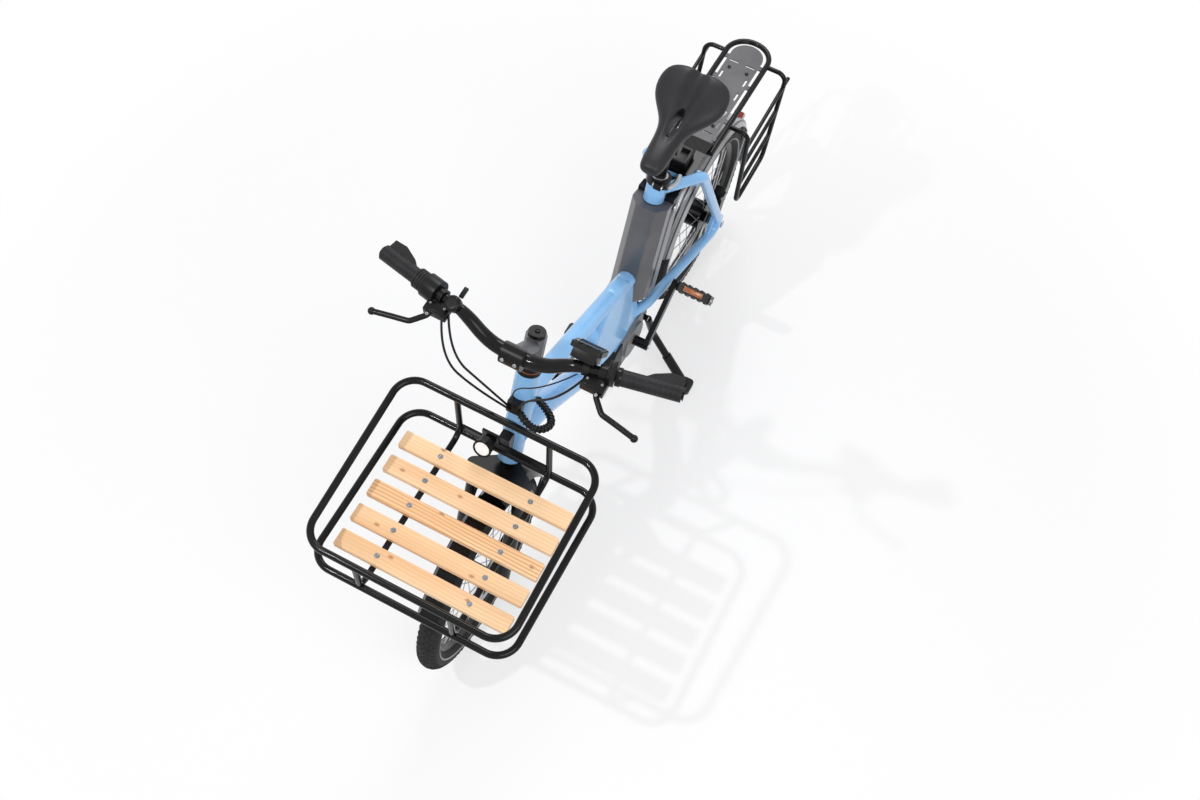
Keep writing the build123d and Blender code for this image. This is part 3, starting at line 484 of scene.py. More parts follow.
class Finishes(Enum):
    """The bike's finishes, each with its values in the order of its class's fields.

    That is name, colour, deep colour, roughness, spread, metallic, coat, mottle scale, grain scale,
    grain depth, specular and stretch, and then what the class adds.
    """

    SKY_PAINT = Finish("sky_paint", paint(136, 187, 233), paint(126, 178, 226), 0.22, 0.03, 0, 0.35, 9, 1500,
                       0.00001, 0.35)
    GLOSS_BLACK = Finish("gloss_black", BLACK, DEEP_BLACK, 0.16, 0.03, 0, 0, 20, 1600, 0.00001, 0.2)
    BLACK_POWDER = Finish("black_powder", BLACK, DEEP_BLACK, 0.3, 0.05, 0, 0, 20, 1600, 0.00003, 0.2)
    PLATE_BLACK = Finish("plate_black", paint(78, 78, 82), paint(68, 68, 72), 0.4, 0.05, 0.1, 0, 16, 1700,
                         0.00003, 0.4)
    BLACK_PLASTIC = Finish("black_plastic", paint(20, 20, 21), paint(13, 13, 14), 0.36, 0.06, 0, 0, 20, 1100,
                           0.00005, 0.2)
    SOFT_RUBBER = RibbedFinish("soft_rubber", paint(34, 34, 36), paint(26, 26, 28), 0.46, 0.06, 0, 0, 20,
                               1400, 0.0005, 0.2)
    FRONT_TYRE = WheelFinish("front_tyre_rubber", paint(34, 34, 35), paint(25, 25, 26), 0.66, 0.08, 0, 0, 25,
                             700, 0.0002,
                             0.2, (1, 1, 1), FRONT, paint(150, 151, 152), 0.2205, 0.2245)
    REAR_TYRE = WheelFinish("rear_tyre_rubber", paint(34, 34, 35), paint(25, 25, 26), 0.66, 0.08, 0, 0, 25,
                            700, 0.0002,
                            0.2, (1, 1, 1), REAR, paint(150, 151, 152), 0.2205, 0.2245)
    TREAD_RUBBER = Finish("tread_rubber", paint(44, 44, 45), paint(34, 34, 35), 0.7, 0.08, 0, 0, 25, 700,
                          0.0002, 0.2)
    SADDLE_COVER = GrainedFinish("saddle_cover", paint(38, 38, 41), paint(31, 31, 34), 0.38, 0.05, 0, 0, 18,
                                 1100, 0.0001,
                                 0.25)
    COVER_METAL = Finish("cover_metal", paint(92, 92, 96), paint(82, 82, 86), 0.3, 0.04, 0.35, 0.1, 12, 2200,
                         0.00001)
    BATTERY_CASE = Finish("battery_case", paint(132, 133, 138), paint(122, 123, 128), 0.42, 0.05, 0.3, 0.1,
                          12, 1800,
                          0.00002)
    STEM_METAL = Finish("stem_metal", paint(100, 101, 105), paint(90, 91, 95), 0.42, 0.05, 0.5, 0, 14, 1500,
                        0.00002)
    BRIGHT_STEEL = Finish("bright_steel", paint(190, 191, 194), paint(168, 169, 172), 0.28, 0.06, 1.0, 0, 40,
                          900, 0.00002)
    FRONT_HUB = WheelFinish("front_hub_alloy", paint(184, 185, 188), paint(164, 165, 168), 0.3, 0.06, 0.9, 0,
                            40, 900,
                            0.00002, 0.5, (1, 1, 1), FRONT, BLACK, 0.0, 0.026)
    REAR_HUB = WheelFinish("rear_hub_alloy", paint(184, 185, 188), paint(164, 165, 168), 0.3, 0.06, 0.9, 0,
                           40, 900,
                           0.00002, 0.5, (1, 1, 1), REAR, BLACK, 0.0, 0.046)
    BOLT_ZINC = Finish("bolt_zinc", paint(146, 148, 152), paint(126, 128, 132), 0.4, 0.06, 0.6, 0, 40, 900,
                       0.00002, 0.3)
    DISC_STEEL = Finish("disc_steel", paint(170, 171, 174), paint(150, 151, 155), 0.32, 0.08, 1.0, 0, 60,
                        900, 0.00003)
    RIM_ALLOY = Finish("rim_alloy", paint(26, 26, 28), paint(18, 18, 20), 0.36, 0.05, 0.2, 0.1, 20, 1300,
                       0.00002, 0.4)
    FENDER_ALLOY = BandedFinish("fender_alloy", paint(170, 171, 173), paint(156, 157, 160), 0.36, 0.05, 0.4,
                                0.2, 14,
                                1500, 0.00002, 0.5, (1, 1, 1), paint(48, 48, 50), "Y",
                                ((0.009, 0.014), (0.0235, 0.027)), True)
    GUARD_PLASTIC = BandedFinish("guard_plastic", paint(172, 173, 175), paint(160, 161, 164), 0.46, 0.05, 0,
                                 0, 14,
                                 1500, 0.00003, 0.5, (1, 1, 1), BLACK, "X", ((-0.147, 0.0),))
    MOTOR_CASE = BandedFinish("motor_case", paint(128, 129, 132), paint(116, 117, 121), 0.45, 0.06, 0.3, 0,
                              14,
                              1100, 0.00006, 0.5, (1, 1, 1), paint(26, 26, 28), "X", ((-0.07, 0.2),))
    SKID_PLASTIC = Finish("skid_plastic", paint(176, 177, 178), paint(160, 161, 163), 0.5, 0.06, 0, 0, 12,
                          1100, 0.00004)
    SLAT_WOOD = WoodFinish("slat_wood", paint(235, 200, 159), paint(206, 150, 98), 0.5, 0.08, 0, 0.05, 8,
                           400, 0.0002,
                           0.4, (1, 1, 1), paint(150, 92, 50))
    BELT_RUBBER = RibbedFinish("belt_rubber", paint(30, 30, 31), paint(22, 22, 23), 0.6, 0.05, 0, 0, 20, 900,
                               0.0006,
                               0.35, (1, 1, 1), "X", 125)
    CLEAR_LENS = Finish("clear_lens", paint(252, 252, 253), paint(240, 242, 245), 0.12, 0.03, 0, 0.4, 60,
                        500, 0.00008)
    RED_LENS = Finish("red_lens", paint(140, 12, 14), paint(112, 8, 10), 0.16, 0.03, 0, 0.4, 50, 450, 0.0002)
    AMBER_LENS = Finish("amber_lens", paint(168, 92, 34), paint(142, 72, 24), 0.22, 0.03, 0, 0.3, 50, 380,
                        0.0004)
    COPPER_RING = Finish("copper_ring", paint(140, 84, 50), paint(118, 68, 40), 0.3, 0.04, 0.8, 0.1, 30, 900,
                         0.00001)
    SCREEN = Finish("screen", paint(12, 13, 16), paint(9, 10, 12), 0.1, 0.02, 0, 0.3, 8, 900, 0.00001)

    def material(self) -> bpy.types.Material:
        """The finish's material, made once."""
        return bpy.data.materials.get(self.value.title) or self.value.make()


NODE_FINISHES: dict[Finishes, tuple[str, ...]] = {
    Finishes.SKY_PAINT: ("frame",),
    Finishes.GLOSS_BLACK: ("tray_frame", "rear_rack", "pannier_frames", "handlebar", "front_fender"),
    Finishes.BLACK_POWDER: ("fork", "seatpost", "seat_clamp", "tray_bracket", "stand_bracket", "stand",
                            "cranks", "bar_clamp", "brake_levers", "front_caliper", "rear_caliper", "bell"),
    Finishes.PLATE_BLACK: ("rack_plate",),
    Finishes.BLACK_PLASTIC: ("battery_holder", "cable_guide", "cables", "display", "headlight",
                             "pedal_left", "pedal_right", "shifter", "stem_cap"),
    Finishes.SOFT_RUBBER: ("grips",),
    Finishes.FRONT_TYRE: ("front_tyre",),
    Finishes.REAR_TYRE: ("rear_tyre",),
    Finishes.SADDLE_COVER: ("saddle",),
    Finishes.COVER_METAL: ("battery_cover",),
    Finishes.BATTERY_CASE: ("battery",),
    Finishes.STEM_METAL: ("stem",),
    Finishes.BRIGHT_STEEL: ("rear_axle_bolt",),
    Finishes.FRONT_HUB: ("front_hub",),
    Finishes.REAR_HUB: ("rear_hub",),
    Finishes.DISC_STEEL: ("front_disc", "rear_disc"),
    Finishes.RIM_ALLOY: ("front_rim", "rear_rim"),
    Finishes.FENDER_ALLOY: ("rear_fender",),
    Finishes.GUARD_PLASTIC: ("belt_guard",),
    Finishes.MOTOR_CASE: ("motor",),
    Finishes.SKID_PLASTIC: ("motor_skid",),
    Finishes.SLAT_WOOD: ("tray_slats",),
    Finishes.BELT_RUBBER: ("belt",),
    Finishes.CLEAR_LENS: ("headlight_lens",),
    Finishes.RED_LENS: ("rear_light",),
}


SLOTS: dict[Finishes, str] = {
    Finishes.BRIGHT_STEEL: "bright_steel",
    Finishes.BOLT_ZINC: "bright_steel",
    Finishes.COPPER_RING: "bright_steel",
    Finishes.BLACK_POWDER: "black_metal",
    Finishes.GLOSS_BLACK: "black_metal",
    Finishes.BLACK_PLASTIC: "black_plastic",
    Finishes.SCREEN: "black_plastic",
    Finishes.SOFT_RUBBER: "grip_black",
    Finishes.TREAD_RUBBER: "tyre",
    Finishes.SADDLE_COVER: "saddle_black",
    Finishes.AMBER_LENS: "red_lens",
}


class Bench:
    """Modelling steps on one piece at a time."""

    @staticmethod
    def pick(piece: bpy.types.Object) -> None:
        """Selects one piece alone.

        Args:
            piece: The piece.
        """
        bpy.ops.object.select_all(action="DESELECT")
        piece.select_set(True)
        bpy.context.view_layer.objects.active = piece

    @staticmethod
    def turn(axis: Vector, place: Vector, roll: float = 0) -> Matrix:
        """A place whose Z points along axis, turned about it by roll."""
        facing = axis.to_track_quat("Z", "Y").to_matrix().to_4x4()
        return Matrix.Translation(place) @ facing @ Matrix.Rotation(roll, 4, "Z")

    @staticmethod
    def basis(forward: Vector, left: Vector, place: Vector) -> Matrix:
        """A place whose X points forward and whose Y points left."""
        up = forward.cross(left)
        return Matrix.Translation(place) @ Matrix((forward, left, up)).transposed().to_4x4()

    @staticmethod
    def disc(name: str, radius: float, height: float, sides: int = 20) -> bpy.types.Object:
        """Makes a round blank.

        Args:
            name: The piece's name.
            radius: Its radius.
            height: Its height.
            sides: How many sides stand for the round.

        Returns:
            The blank, standing on its origin.
        """
        bpy.ops.object.select_all(action="DESELECT")
        bpy.ops.mesh.primitive_cylinder_add(radius=radius, depth=height, vertices=sides,
                                            location=(0, 0, height / 2))
        return Bench.named(name)

    @staticmethod
    def block(name: str, size: Triple) -> bpy.types.Object:
        """Makes a rectangular blank.

        Args:
            name: The piece's name.
            size: Its length, width and height.

        Returns:
            The blank, centred on its origin.
        """
        bpy.ops.object.select_all(action="DESELECT")
        bpy.ops.mesh.primitive_cube_add(size=1)
        bpy.ops.transform.resize(value=size)
        return Bench.named(name)

    @staticmethod
    def band(name: str, inner: float, outer: float, height: float, sides: int = 48) -> bpy.types.Object:
        """A ring about Z, spun from its rectangular section, standing on its origin.

        Args:
            name: The piece's name.
            inner: The hole's radius.
            outer: The outside radius.
            height: The ring's height.
            sides: How many steps the spin takes.

        Returns:
            The ring with its edges rounded.
        """
        bpy.ops.object.select_all(action="DESELECT")
        bpy.ops.mesh.primitive_plane_add(size=1, rotation=(math.pi / 2, 0, 0))
        bpy.ops.transform.resize(value=(outer - inner, 1, height))
        ring = Bench.named(name)
        ring.data.transform(Matrix.Translation(((inner + outer) / 2, 0, height / 2)))
        bpy.ops.object.mode_set(mode="EDIT")
        bpy.ops.mesh.select_all(action="SELECT")
        bpy.ops.mesh.delete(type="ONLY_FACE")
        bpy.ops.mesh.select_all(action="SELECT")
        bpy.ops.mesh.spin(steps=sides, angle=2 * math.pi, center=(0, 0, 0), axis=(0, 0, 1))
        bpy.ops.mesh.select_all(action="SELECT")
        bpy.ops.mesh.remove_doubles(threshold=1e-6)
        bpy.ops.mesh.normals_make_consistent(inside=False)
        bpy.ops.object.mode_set(mode="OBJECT")
        return Bench.soften(ring, min(outer - inner, height) * 0.3)

    @staticmethod
    def named(name: str) -> bpy.types.Object:
        """Names the new piece and applies its place to its mesh."""
        piece = bpy.context.object
        piece.name = name
        piece.data.name = name
        bpy.ops.object.transform_apply(location=True, rotation=True, scale=True)
        return piece

    @staticmethod
    def inset(piece: bpy.types.Object, up: Vector, border: float, depth: float) -> None:
        """Insets the outermost faces that point along up, and pushes them in or out.

        Args:
            piece: The piece to work on.
            up: The direction of the faces.
            border: The width left around them.
            depth: How far they move along up.
        """
        Bench.pick(piece)
        bpy.ops.object.mode_set(mode="EDIT")
        bpy.ops.mesh.select_mode(type="FACE")
        bpy.ops.mesh.select_all(action="DESELECT")
        shape = bmesh.from_edit_mesh(piece.data)
        faces = [face for face in shape.faces if face.normal.dot(up) > 0.95]
        far = max(face.calc_center_median().dot(up) for face in faces)
        for face in faces:
            face.select = far - face.calc_center_median().dot(up) < 1e-5
        bmesh.update_edit_mesh(piece.data)
        bpy.ops.mesh.inset(thickness=border)
        bpy.ops.mesh.extrude_region_move(TRANSFORM_OT_translate={"value": up * depth})
        bpy.ops.object.mode_set(mode="OBJECT")

    @staticmethod
    def soften(piece: bpy.types.Object, width: float, segments: int = 2) -> bpy.types.Object:
        """Rounds a piece's sharp edges and shades it smooth.

        Args:
            piece: The piece.
            width: The rounding's width.
            segments: How many steps the rounding takes.

        Returns:
            The piece.
        """
        Bench.pick(piece)
        bevel = piece.modifiers.new("edges", "BEVEL")
        bevel.width = width
        bevel.segments = segments
        bevel.limit_method = "ANGLE"
        bevel.angle_limit = math.radians(35)
        bpy.ops.object.modifier_apply(modifier=bevel.name)
        bpy.ops.object.shade_smooth_by_angle(angle=math.radians(40))
        return piece

    @staticmethod
    def outward(piece: bpy.types.Object) -> None:
        """Turns every face of a closed piece outwards.

        Args:
            piece: The piece.
        """
        Bench.pick(piece)
        bpy.ops.object.mode_set(mode="EDIT")
        bpy.ops.mesh.select_all(action="SELECT")
        bpy.ops.mesh.normals_make_consistent(inside=False)
        bpy.ops.object.mode_set(mode="OBJECT")

    @staticmethod
    def curve(name: str, route: Sequence[Vector], bevel: float, smooth: int = 24,
              swell: Sequence[float] = ()) -> bpy.types.Object:
        """A smooth curve with the route as its control points.

        Args:
            name: The piece's name.
            route: The control points.
            bevel: The round section's radius, or 0 for a bare line.
            smooth: Steps between control points.
            swell: Factors on the radius at each control point, where it changes.

        Returns:
            The curve.
        """
        data = bpy.data.curves.new(name, "CURVE")
        data.dimensions = "3D"
        data.resolution_u = smooth
        data.bevel_depth = bevel
        data.bevel_resolution = 4
        data.use_fill_caps = True
        spline = data.splines.new("NURBS")
        spline.points.add(len(route) - 1)
        for point, spot in zip(spline.points, route):
            point.co = (*spot, 1)
        for point, factor in zip(spline.points, swell):
            point.radius = factor
        spline.order_u = 3
        spline.use_endpoint_u = True
        made = bpy.data.objects.new(name, data)
        bpy.context.collection.objects.link(made)
        return made

    @staticmethod
    def tube(name: str, route: Sequence[Vector], radius: float, smooth: int = 24,
             swell: Sequence[float] = ()) -> bpy.types.Object:
        """Makes a smooth round mesh along a route.

        Args:
            name: The piece's name.
            route: The control points.
            radius: The round section's radius.
            smooth: Steps between control points.
            swell: Factors on the radius at each control point, where it changes.

        Returns:
            The mesh.
        """
        Bench.pick(Bench.curve(name, route, radius, smooth, swell))
        bpy.ops.object.convert(target="MESH")
        bpy.ops.object.shade_smooth_by_angle(angle=math.radians(50))
        return bpy.context.object

    @staticmethod
    def join(name: str, pieces: Sequence[bpy.types.Object]) -> bpy.types.Object:
        """Joins pieces in one.

        Args:
            name: The whole's name.
            pieces: What is joined.

        Returns:
            The whole.
        """
        Bench.pick(pieces[0])
        for piece in pieces:
            piece.select_set(True)
        bpy.ops.object.join()
        whole = bpy.context.object
        whole.name = name
        whole.data.name = name
        return whole

    @staticmethod
    def copies(piece: bpy.types.Object, places: Sequence[Matrix]) -> bpy.types.Object:
        """Copies a piece to each place, joined in one, and removes the model it was copied from.

        Args:
            piece: The piece to copy.
            places: Where each copy goes.

        Returns:
            One object that holds all the copies.
        """
        made = []
        for place in places:
            copy = piece.copy()
            copy.data = piece.data.copy()
            copy.data.transform(place)
            bpy.context.collection.objects.link(copy)
            made.append(copy)
        name = piece.name
        bpy.data.objects.remove(piece)
        return Bench.join(name, made)

    @staticmethod
    def fit(piece: bpy.types.Object, finish: Finishes, rider: Rider, slot: str = "") -> bpy.types.Object:
        """Gives a piece its finish and the body that it rides on.

        Args:
            piece: The piece.
            finish: Its finish.
            rider: The body that it rides on.
            slot: Not used.

        Returns:
            The piece.
        """
        piece.data.materials.clear()
        piece.data.materials.append(finish.material())
        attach(piece, rider.value)
        slot or SLOTS[finish]
        log.info("%s rides on %s", piece.name, rider.value)
        return piece


@dataclass(frozen=True)
class Stock:
    """A small piece that is modelled once and copied to each of its places."""

    def model(self, name: str) -> bpy.types.Object:
        """The piece at the origin, facing along Z."""
        raise NotImplementedError

    def lay(self, name: str, places: Sequence[Matrix], rider: Rider, finish: Finishes) -> bpy.types.Object:
        """Sets copies in place.

        Args:
            name: The piece's name.
            places: Where each copy goes.
            rider: The body that they ride on.
            finish: Their finish.

        Returns:
            The copies as one piece.
        """
        return Bench.fit(Bench.copies(self.model(name), places), finish, rider)


@dataclass(frozen=True)
class Drum(Stock):
    """Round blanks with the top set in or out and their edges rounded."""

    radius: float
    height: float
    border: float
    depth: float
    edge: float
    segments: int = 2
    sides: int = 20

    def model(self, name: str) -> bpy.types.Object:
        """One blank.

        Args:
            name: The piece's name.

        Returns:
            The blank, standing on its origin.
        """
        blank = Bench.disc(name, self.radius, self.height, self.sides)
        Bench.inset(blank, UP, self.border, self.depth)
        return Bench.soften(blank, self.edge, self.segments)


@dataclass(frozen=True)
class Panel(Stock):
    """Blocks with one face set in or out and their edges rounded."""

    size: Triple
    border: float
    depth: float
    edge: float
    segments: int = 2
    face: Triple = (0, 0, 1)

    def model(self, name: str) -> bpy.types.Object:
        """One block.

        Args:
            name: The piece's name.

        Returns:
            The block, centred on its origin.
        """
        block = Bench.block(name, self.size)
        Bench.inset(block, Vector(self.face), self.border, self.depth)
        return Bench.soften(block, self.edge, self.segments)


@dataclass(frozen=True)
class Collar(Stock):
    """Rings that stand on their seat."""

    inner: float
    outer: float
    height: float
    sides: int = 48

    def model(self, name: str) -> bpy.types.Object:
        """One ring."""
        return Bench.band(name, self.inner, self.outer, self.height, self.sides)


@dataclass(frozen=True)
class Fastener(Stock):
    """Socket-head bolts, their socket and edges as shares of the head."""

    radius: float
    height: float
    rim_share: float = 0.42
    socket_share: float = 0.6
    edge_share: float = 0.14

    def model(self, name: str) -> bpy.types.Object:
        """One bolt head with its socket."""
        return Drum(self.radius, self.height, self.radius * self.rim_share, -self.height * self.socket_share,
                    self.radius * self.edge_share).model(name)

    def spread(self, name: str, spots: Iterable[tuple[Vector, Vector]], rider: Rider,
               finish: Finishes = Finishes.BRIGHT_STEEL) -> bpy.types.Object:
        """Sets bolts in place, each by its seat and the way it faces."""
        return self.lay(name, [Bench.turn(facing, seat) for seat, facing in spots], rider, finish)


FORE: Triple = (1, 0, 0)
AFT: Triple = (-1, 0, 0)
OUT: Triple = (0, 1, 0)
IN: Triple = (0, -1, 0)
ALONG: Triple = (0, 0, 1)
PLATE_UP: Triple = (-0.0833, 0, 1)
TUBE_FORE: Triple = (1, 0, 0.083)


@dataclass(frozen=True)
class BoltSet:
    """Bolts of one size, by the seat and the facing of each in one space, and mirrored to the right or not."""

    name: str
    bolt: Fastener
    space: Space
    spots: tuple[tuple[Triple, Triple], ...]
    mirrored: bool = False
    rider: Rider = Rider.FRAME
    finish: Finishes = Finishes.BRIGHT_STEEL

    def build(self, layout: Layout) -> None:
        """Sets the bolts in place.

        Args:
            layout: The bike's places.
        """
        sides = BOTH_SIDES if self.mirrored else BOTH_SIDES[:1]
        spots = [(layout.spot(self.space, (x, side * y, z)), layout.way(self.space, (along, side * across, up)))
                 for (x, y, z), (along, across, up) in self.spots for side in sides]
        self.bolt.spread(self.name, spots, self.rider, self.finish)


@dataclass
class Tray:
    """The front tray's slat washers and bolts, and the headlight's bezel."""

    layout: Layout
    first_slat: float = 1.11297
    pitch: float = 0.0644
    slats: int = 5
    bearer: float = 0.110
    slat_top: float = 0.671
    washer: Collar = Collar(0.003, 0.0060, 0.0012, 24)
    bolt: Fastener = Fastener(0.0038, 0.0036)
    lamp_tilt: float = math.radians(25)
    lamp_place: Triple = (1.03297, -0.032, 0.690)
    lamp_reach: float = 0.036
    bezel: Collar = Collar(0.0172, 0.0215, 0.007)
    bezel_sunk: float = 0.002

    def build(self) -> None:
        """Fits the washers and bolts on each slat over the bearers, and the bezel round the lens."""
        seats = [self.layout.at(self.first_slat + number * self.pitch, side * self.bearer, self.slat_top)
                 for number in range(self.slats) for side in BOTH_SIDES]
        self.washer.lay("slat_washers", [Matrix.Translation(seat) for seat in seats], Rider.FRAME,
                        Finishes.BOLT_ZINC)
        self.bolt.spread("slat_bolts", [(seat, UP) for seat in seats], Rider.FRAME, Finishes.BOLT_ZINC)
        axis = Vector((math.cos(self.lamp_tilt), 0, math.sin(self.lamp_tilt)))
        face = self.layout.at(*self.lamp_place) + axis * self.lamp_reach
        self.bezel.lay("lamp_bezel", [Bench.turn(axis, face - axis * self.bezel_sunk)], Rider.FRAME,
                       Finishes.GLOSS_BLACK)


@dataclass
class Tread:
    """Road tread blocks around a tyre, in arrow rows."""

    layout: Layout
    rows: tuple[float, ...] = (-58, -36, -13, 13, 36, 58)
    blocks: int = 76
    block: Triple = (0.0125, 0.0070, 0.0028)
    slant: float = math.radians(28)
    stand_out: float = 0.0009
    sipe_border: float = 0.0012
    sipe_depth: float = 0.0005

    def build(self, name: str, centre: Vector, rider: Rider) -> None:
        """Models one block with its sipe and copies it round the tyre.

        Args:
            name: The piece's name.
            centre: The wheel's centre.
            rider: The wheel's body.
        """
        block = Bench.block(name, self.block)
        Bench.inset(block, UP, self.sipe_border, -self.sipe_depth)
        core = self.layout.tyre_radius - self.layout.tyre_section
        reach = self.layout.tyre_section + self.stand_out - self.block[2] / 2
        places = []
        for row, across in enumerate(self.rows):
            side = math.copysign(1, across)
            for number in range(self.blocks):
                angle = 2 * math.pi * (number + 0.5 * (row % 2)) / self.blocks
                out = Vector((math.cos(angle), 0, math.sin(angle)))
                tip = math.radians(across)
                face = out * math.cos(tip) + LEFT * math.sin(tip)
                along = Vector((-math.sin(angle), 0, math.cos(angle)))
                sideways = face.cross(along)
                seat = centre + out * core + face * reach
                lean = along * math.cos(self.slant) + sideways * (side * math.sin(self.slant))
                places.append(Bench.basis(lean, face.cross(lean), seat))
        Bench.fit(Bench.copies(block, places), Finishes.TREAD_RUBBER, rider)


@dataclass(frozen=True)
class SaddleStation:
    """One cross-section of the saddle: its place from the nose, half width, top, depth and groove."""

    share: float
    half: float
    top: float
    depth: float
    groove: float


@dataclass
class Saddle:
    """The padded saddle: two lobes, a narrow nose and a centre groove with an opening."""

    layout: Layout
    nose: float = 0.375
    length: float = 0.268
    height: float = 0.905
    around: int = 32
    groove_width: float = 0.011
    over: float = 0.55
    under: float = 0.45
    side_power: float = 0.85
    over_power: float = 0.8
    under_power: float = 0.6
    tuck: float = 0.3
    opening: tuple[float, float] = (0.042, 0.0115)
    opening_share: float = 0.5
    cutter_height: float = 0.16
    rail: float = 0.0035
    rail_route: tuple[Triple, ...] = (  # back from the nose, out from the middle, up from the height
        (0.040, 0.008, -0.018),
        (0.062, 0.018, -0.040),
        (0.085, 0.022, -0.044),
        (0.175, 0.022, -0.030),
        (0.205, 0.022, -0.010),
        (0.225, 0.022, 0.010),
    )
    stations: tuple[SaddleStation, ...] = (
        SaddleStation(0.000, 0.016, -0.012, 0.018, 0.000),
        SaddleStation(0.020, 0.0235, -0.004, 0.030, 0.000),
        SaddleStation(0.080, 0.0285, 0.001, 0.040, 0.000),
        SaddleStation(0.200, 0.0305, 0.004, 0.045, 0.000),
        SaddleStation(0.340, 0.0315, 0.008, 0.047, 0.006),
        SaddleStation(0.450, 0.0355, 0.012, 0.049, 0.013),
        SaddleStation(0.540, 0.0455, 0.017, 0.051, 0.018),
        SaddleStation(0.630, 0.066, 0.023, 0.053, 0.021),
        SaddleStation(0.720, 0.083, 0.031, 0.055, 0.021),
        SaddleStation(0.810, 0.088, 0.039, 0.055, 0.020),
        SaddleStation(0.890, 0.086, 0.045, 0.050, 0.019),
        SaddleStation(0.950, 0.078, 0.048, 0.044, 0.017),
        SaddleStation(0.985, 0.064, 0.047, 0.036, 0.013),
        SaddleStation(1.000, 0.046, 0.042, 0.026, 0.008),
    )

    def ring(self, station: SaddleStation) -> list[Vector]:
        """The points of one cross-section, from the left edge over the top.

        Args:
            station: The cross-section.

        Returns:
            Its points in order.
        """
        points = []
        middle = self.height + station.top - station.depth * self.over
        for step in range(self.around):
            angle = 2 * math.pi * step / self.around
            cosine, sine = math.cos(angle), math.sin(angle)
            left = station.half * math.copysign(abs(cosine) ** self.side_power, cosine)
            if sine > 0:
                rise = station.depth * self.over * sine ** self.over_power
                rise -= station.groove * math.exp(-(left / self.groove_width) ** 2)
            else:
                rise = -station.depth * self.under * (-sine) ** self.under_power
                left *= 1 + self.tuck * sine
            points.append(self.layout.at(self.nose - station.share * self.length, left, middle + rise))
        return points

    def build(self) -> None:
        """Builds the cover from its cross-sections, smooths it and cuts the opening."""
        rings = [self.ring(station) for station in self.stations]
        points = [point for ring in rings for point in ring]
        count = self.around
        faces = [[row * count + step, row * count + (step + 1) % count, (row + 1) * count + (step + 1) % count,
                  (row + 1) * count + step] for row in range(len(rings) - 1) for step in range(count)]
        faces.append(list(range(count))[::-1])
        faces.append(list(range(len(points) - count, len(points))))
        mesh = bpy.data.meshes.new("saddle_cover")
        mesh.from_pydata(points, [], faces)
        cover = bpy.data.objects.new("saddle_cover", mesh)
        bpy.context.collection.objects.link(cover)
        Bench.outward(cover)
        smooth = cover.modifiers.new("smooth", "SUBSURF")
        smooth.levels = 2
        smooth.render_levels = 2
        bpy.ops.object.modifier_apply(modifier=smooth.name)
        self.cut_opening(cover)
        Bench.pick(cover)
        bpy.ops.object.shade_smooth_by_angle(angle=math.radians(45))
        Bench.fit(cover, Finishes.SADDLE_COVER, Rider.FRAME)
        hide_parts("saddle")
        self.build_rails()

    def cut_opening(self, cover: bpy.types.Object) -> None:
        """Cuts the long opening through the middle of the cover.

        Args:
            cover: The cover.
        """
        half_length, half_width = self.opening
        cutter = Bench.disc("opening_cutter", half_width, self.cutter_height, 40)
        cutter.data.transform(Matrix.Diagonal((half_length / half_width, 1, 1, 1)))
        place = self.layout.at(self.nose - self.opening_share * self.length, 0,
                               self.height - self.cutter_height / 2)
        cutter.data.transform(Matrix.Translation(place))
        Bench.pick(cover)
        cut = cover.modifiers.new("opening", "BOOLEAN")
        cut.operation = "DIFFERENCE"
        cut.object = cutter
        bpy.ops.object.modifier_apply(modifier=cut.name)
        bpy.data.objects.remove(cutter)

    def build_rails(self) -> None:
        """The two steel rails under the cover, in the CAD rails' place."""
        tubes = []
        for side in BOTH_SIDES:
            spots = [self.layout.at(self.nose - back, side * left, self.height + rise)
                     for back, left, rise in self.rail_route]
            tubes.append(Bench.tube("saddle_rail", spots, self.rail))
        rails = Bench.join("saddle_rails", tubes)
        Bench.fit(rails, Finishes.BRIGHT_STEEL, Rider.FRAME)
        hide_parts("saddle")


@dataclass(frozen=True)
class Line:
    """One cable: its name, radius, route from the handlebar to the guide block, and stiffness."""

    name: str
    radius: float
    route: tuple[Vector, ...]
    stiffness: str


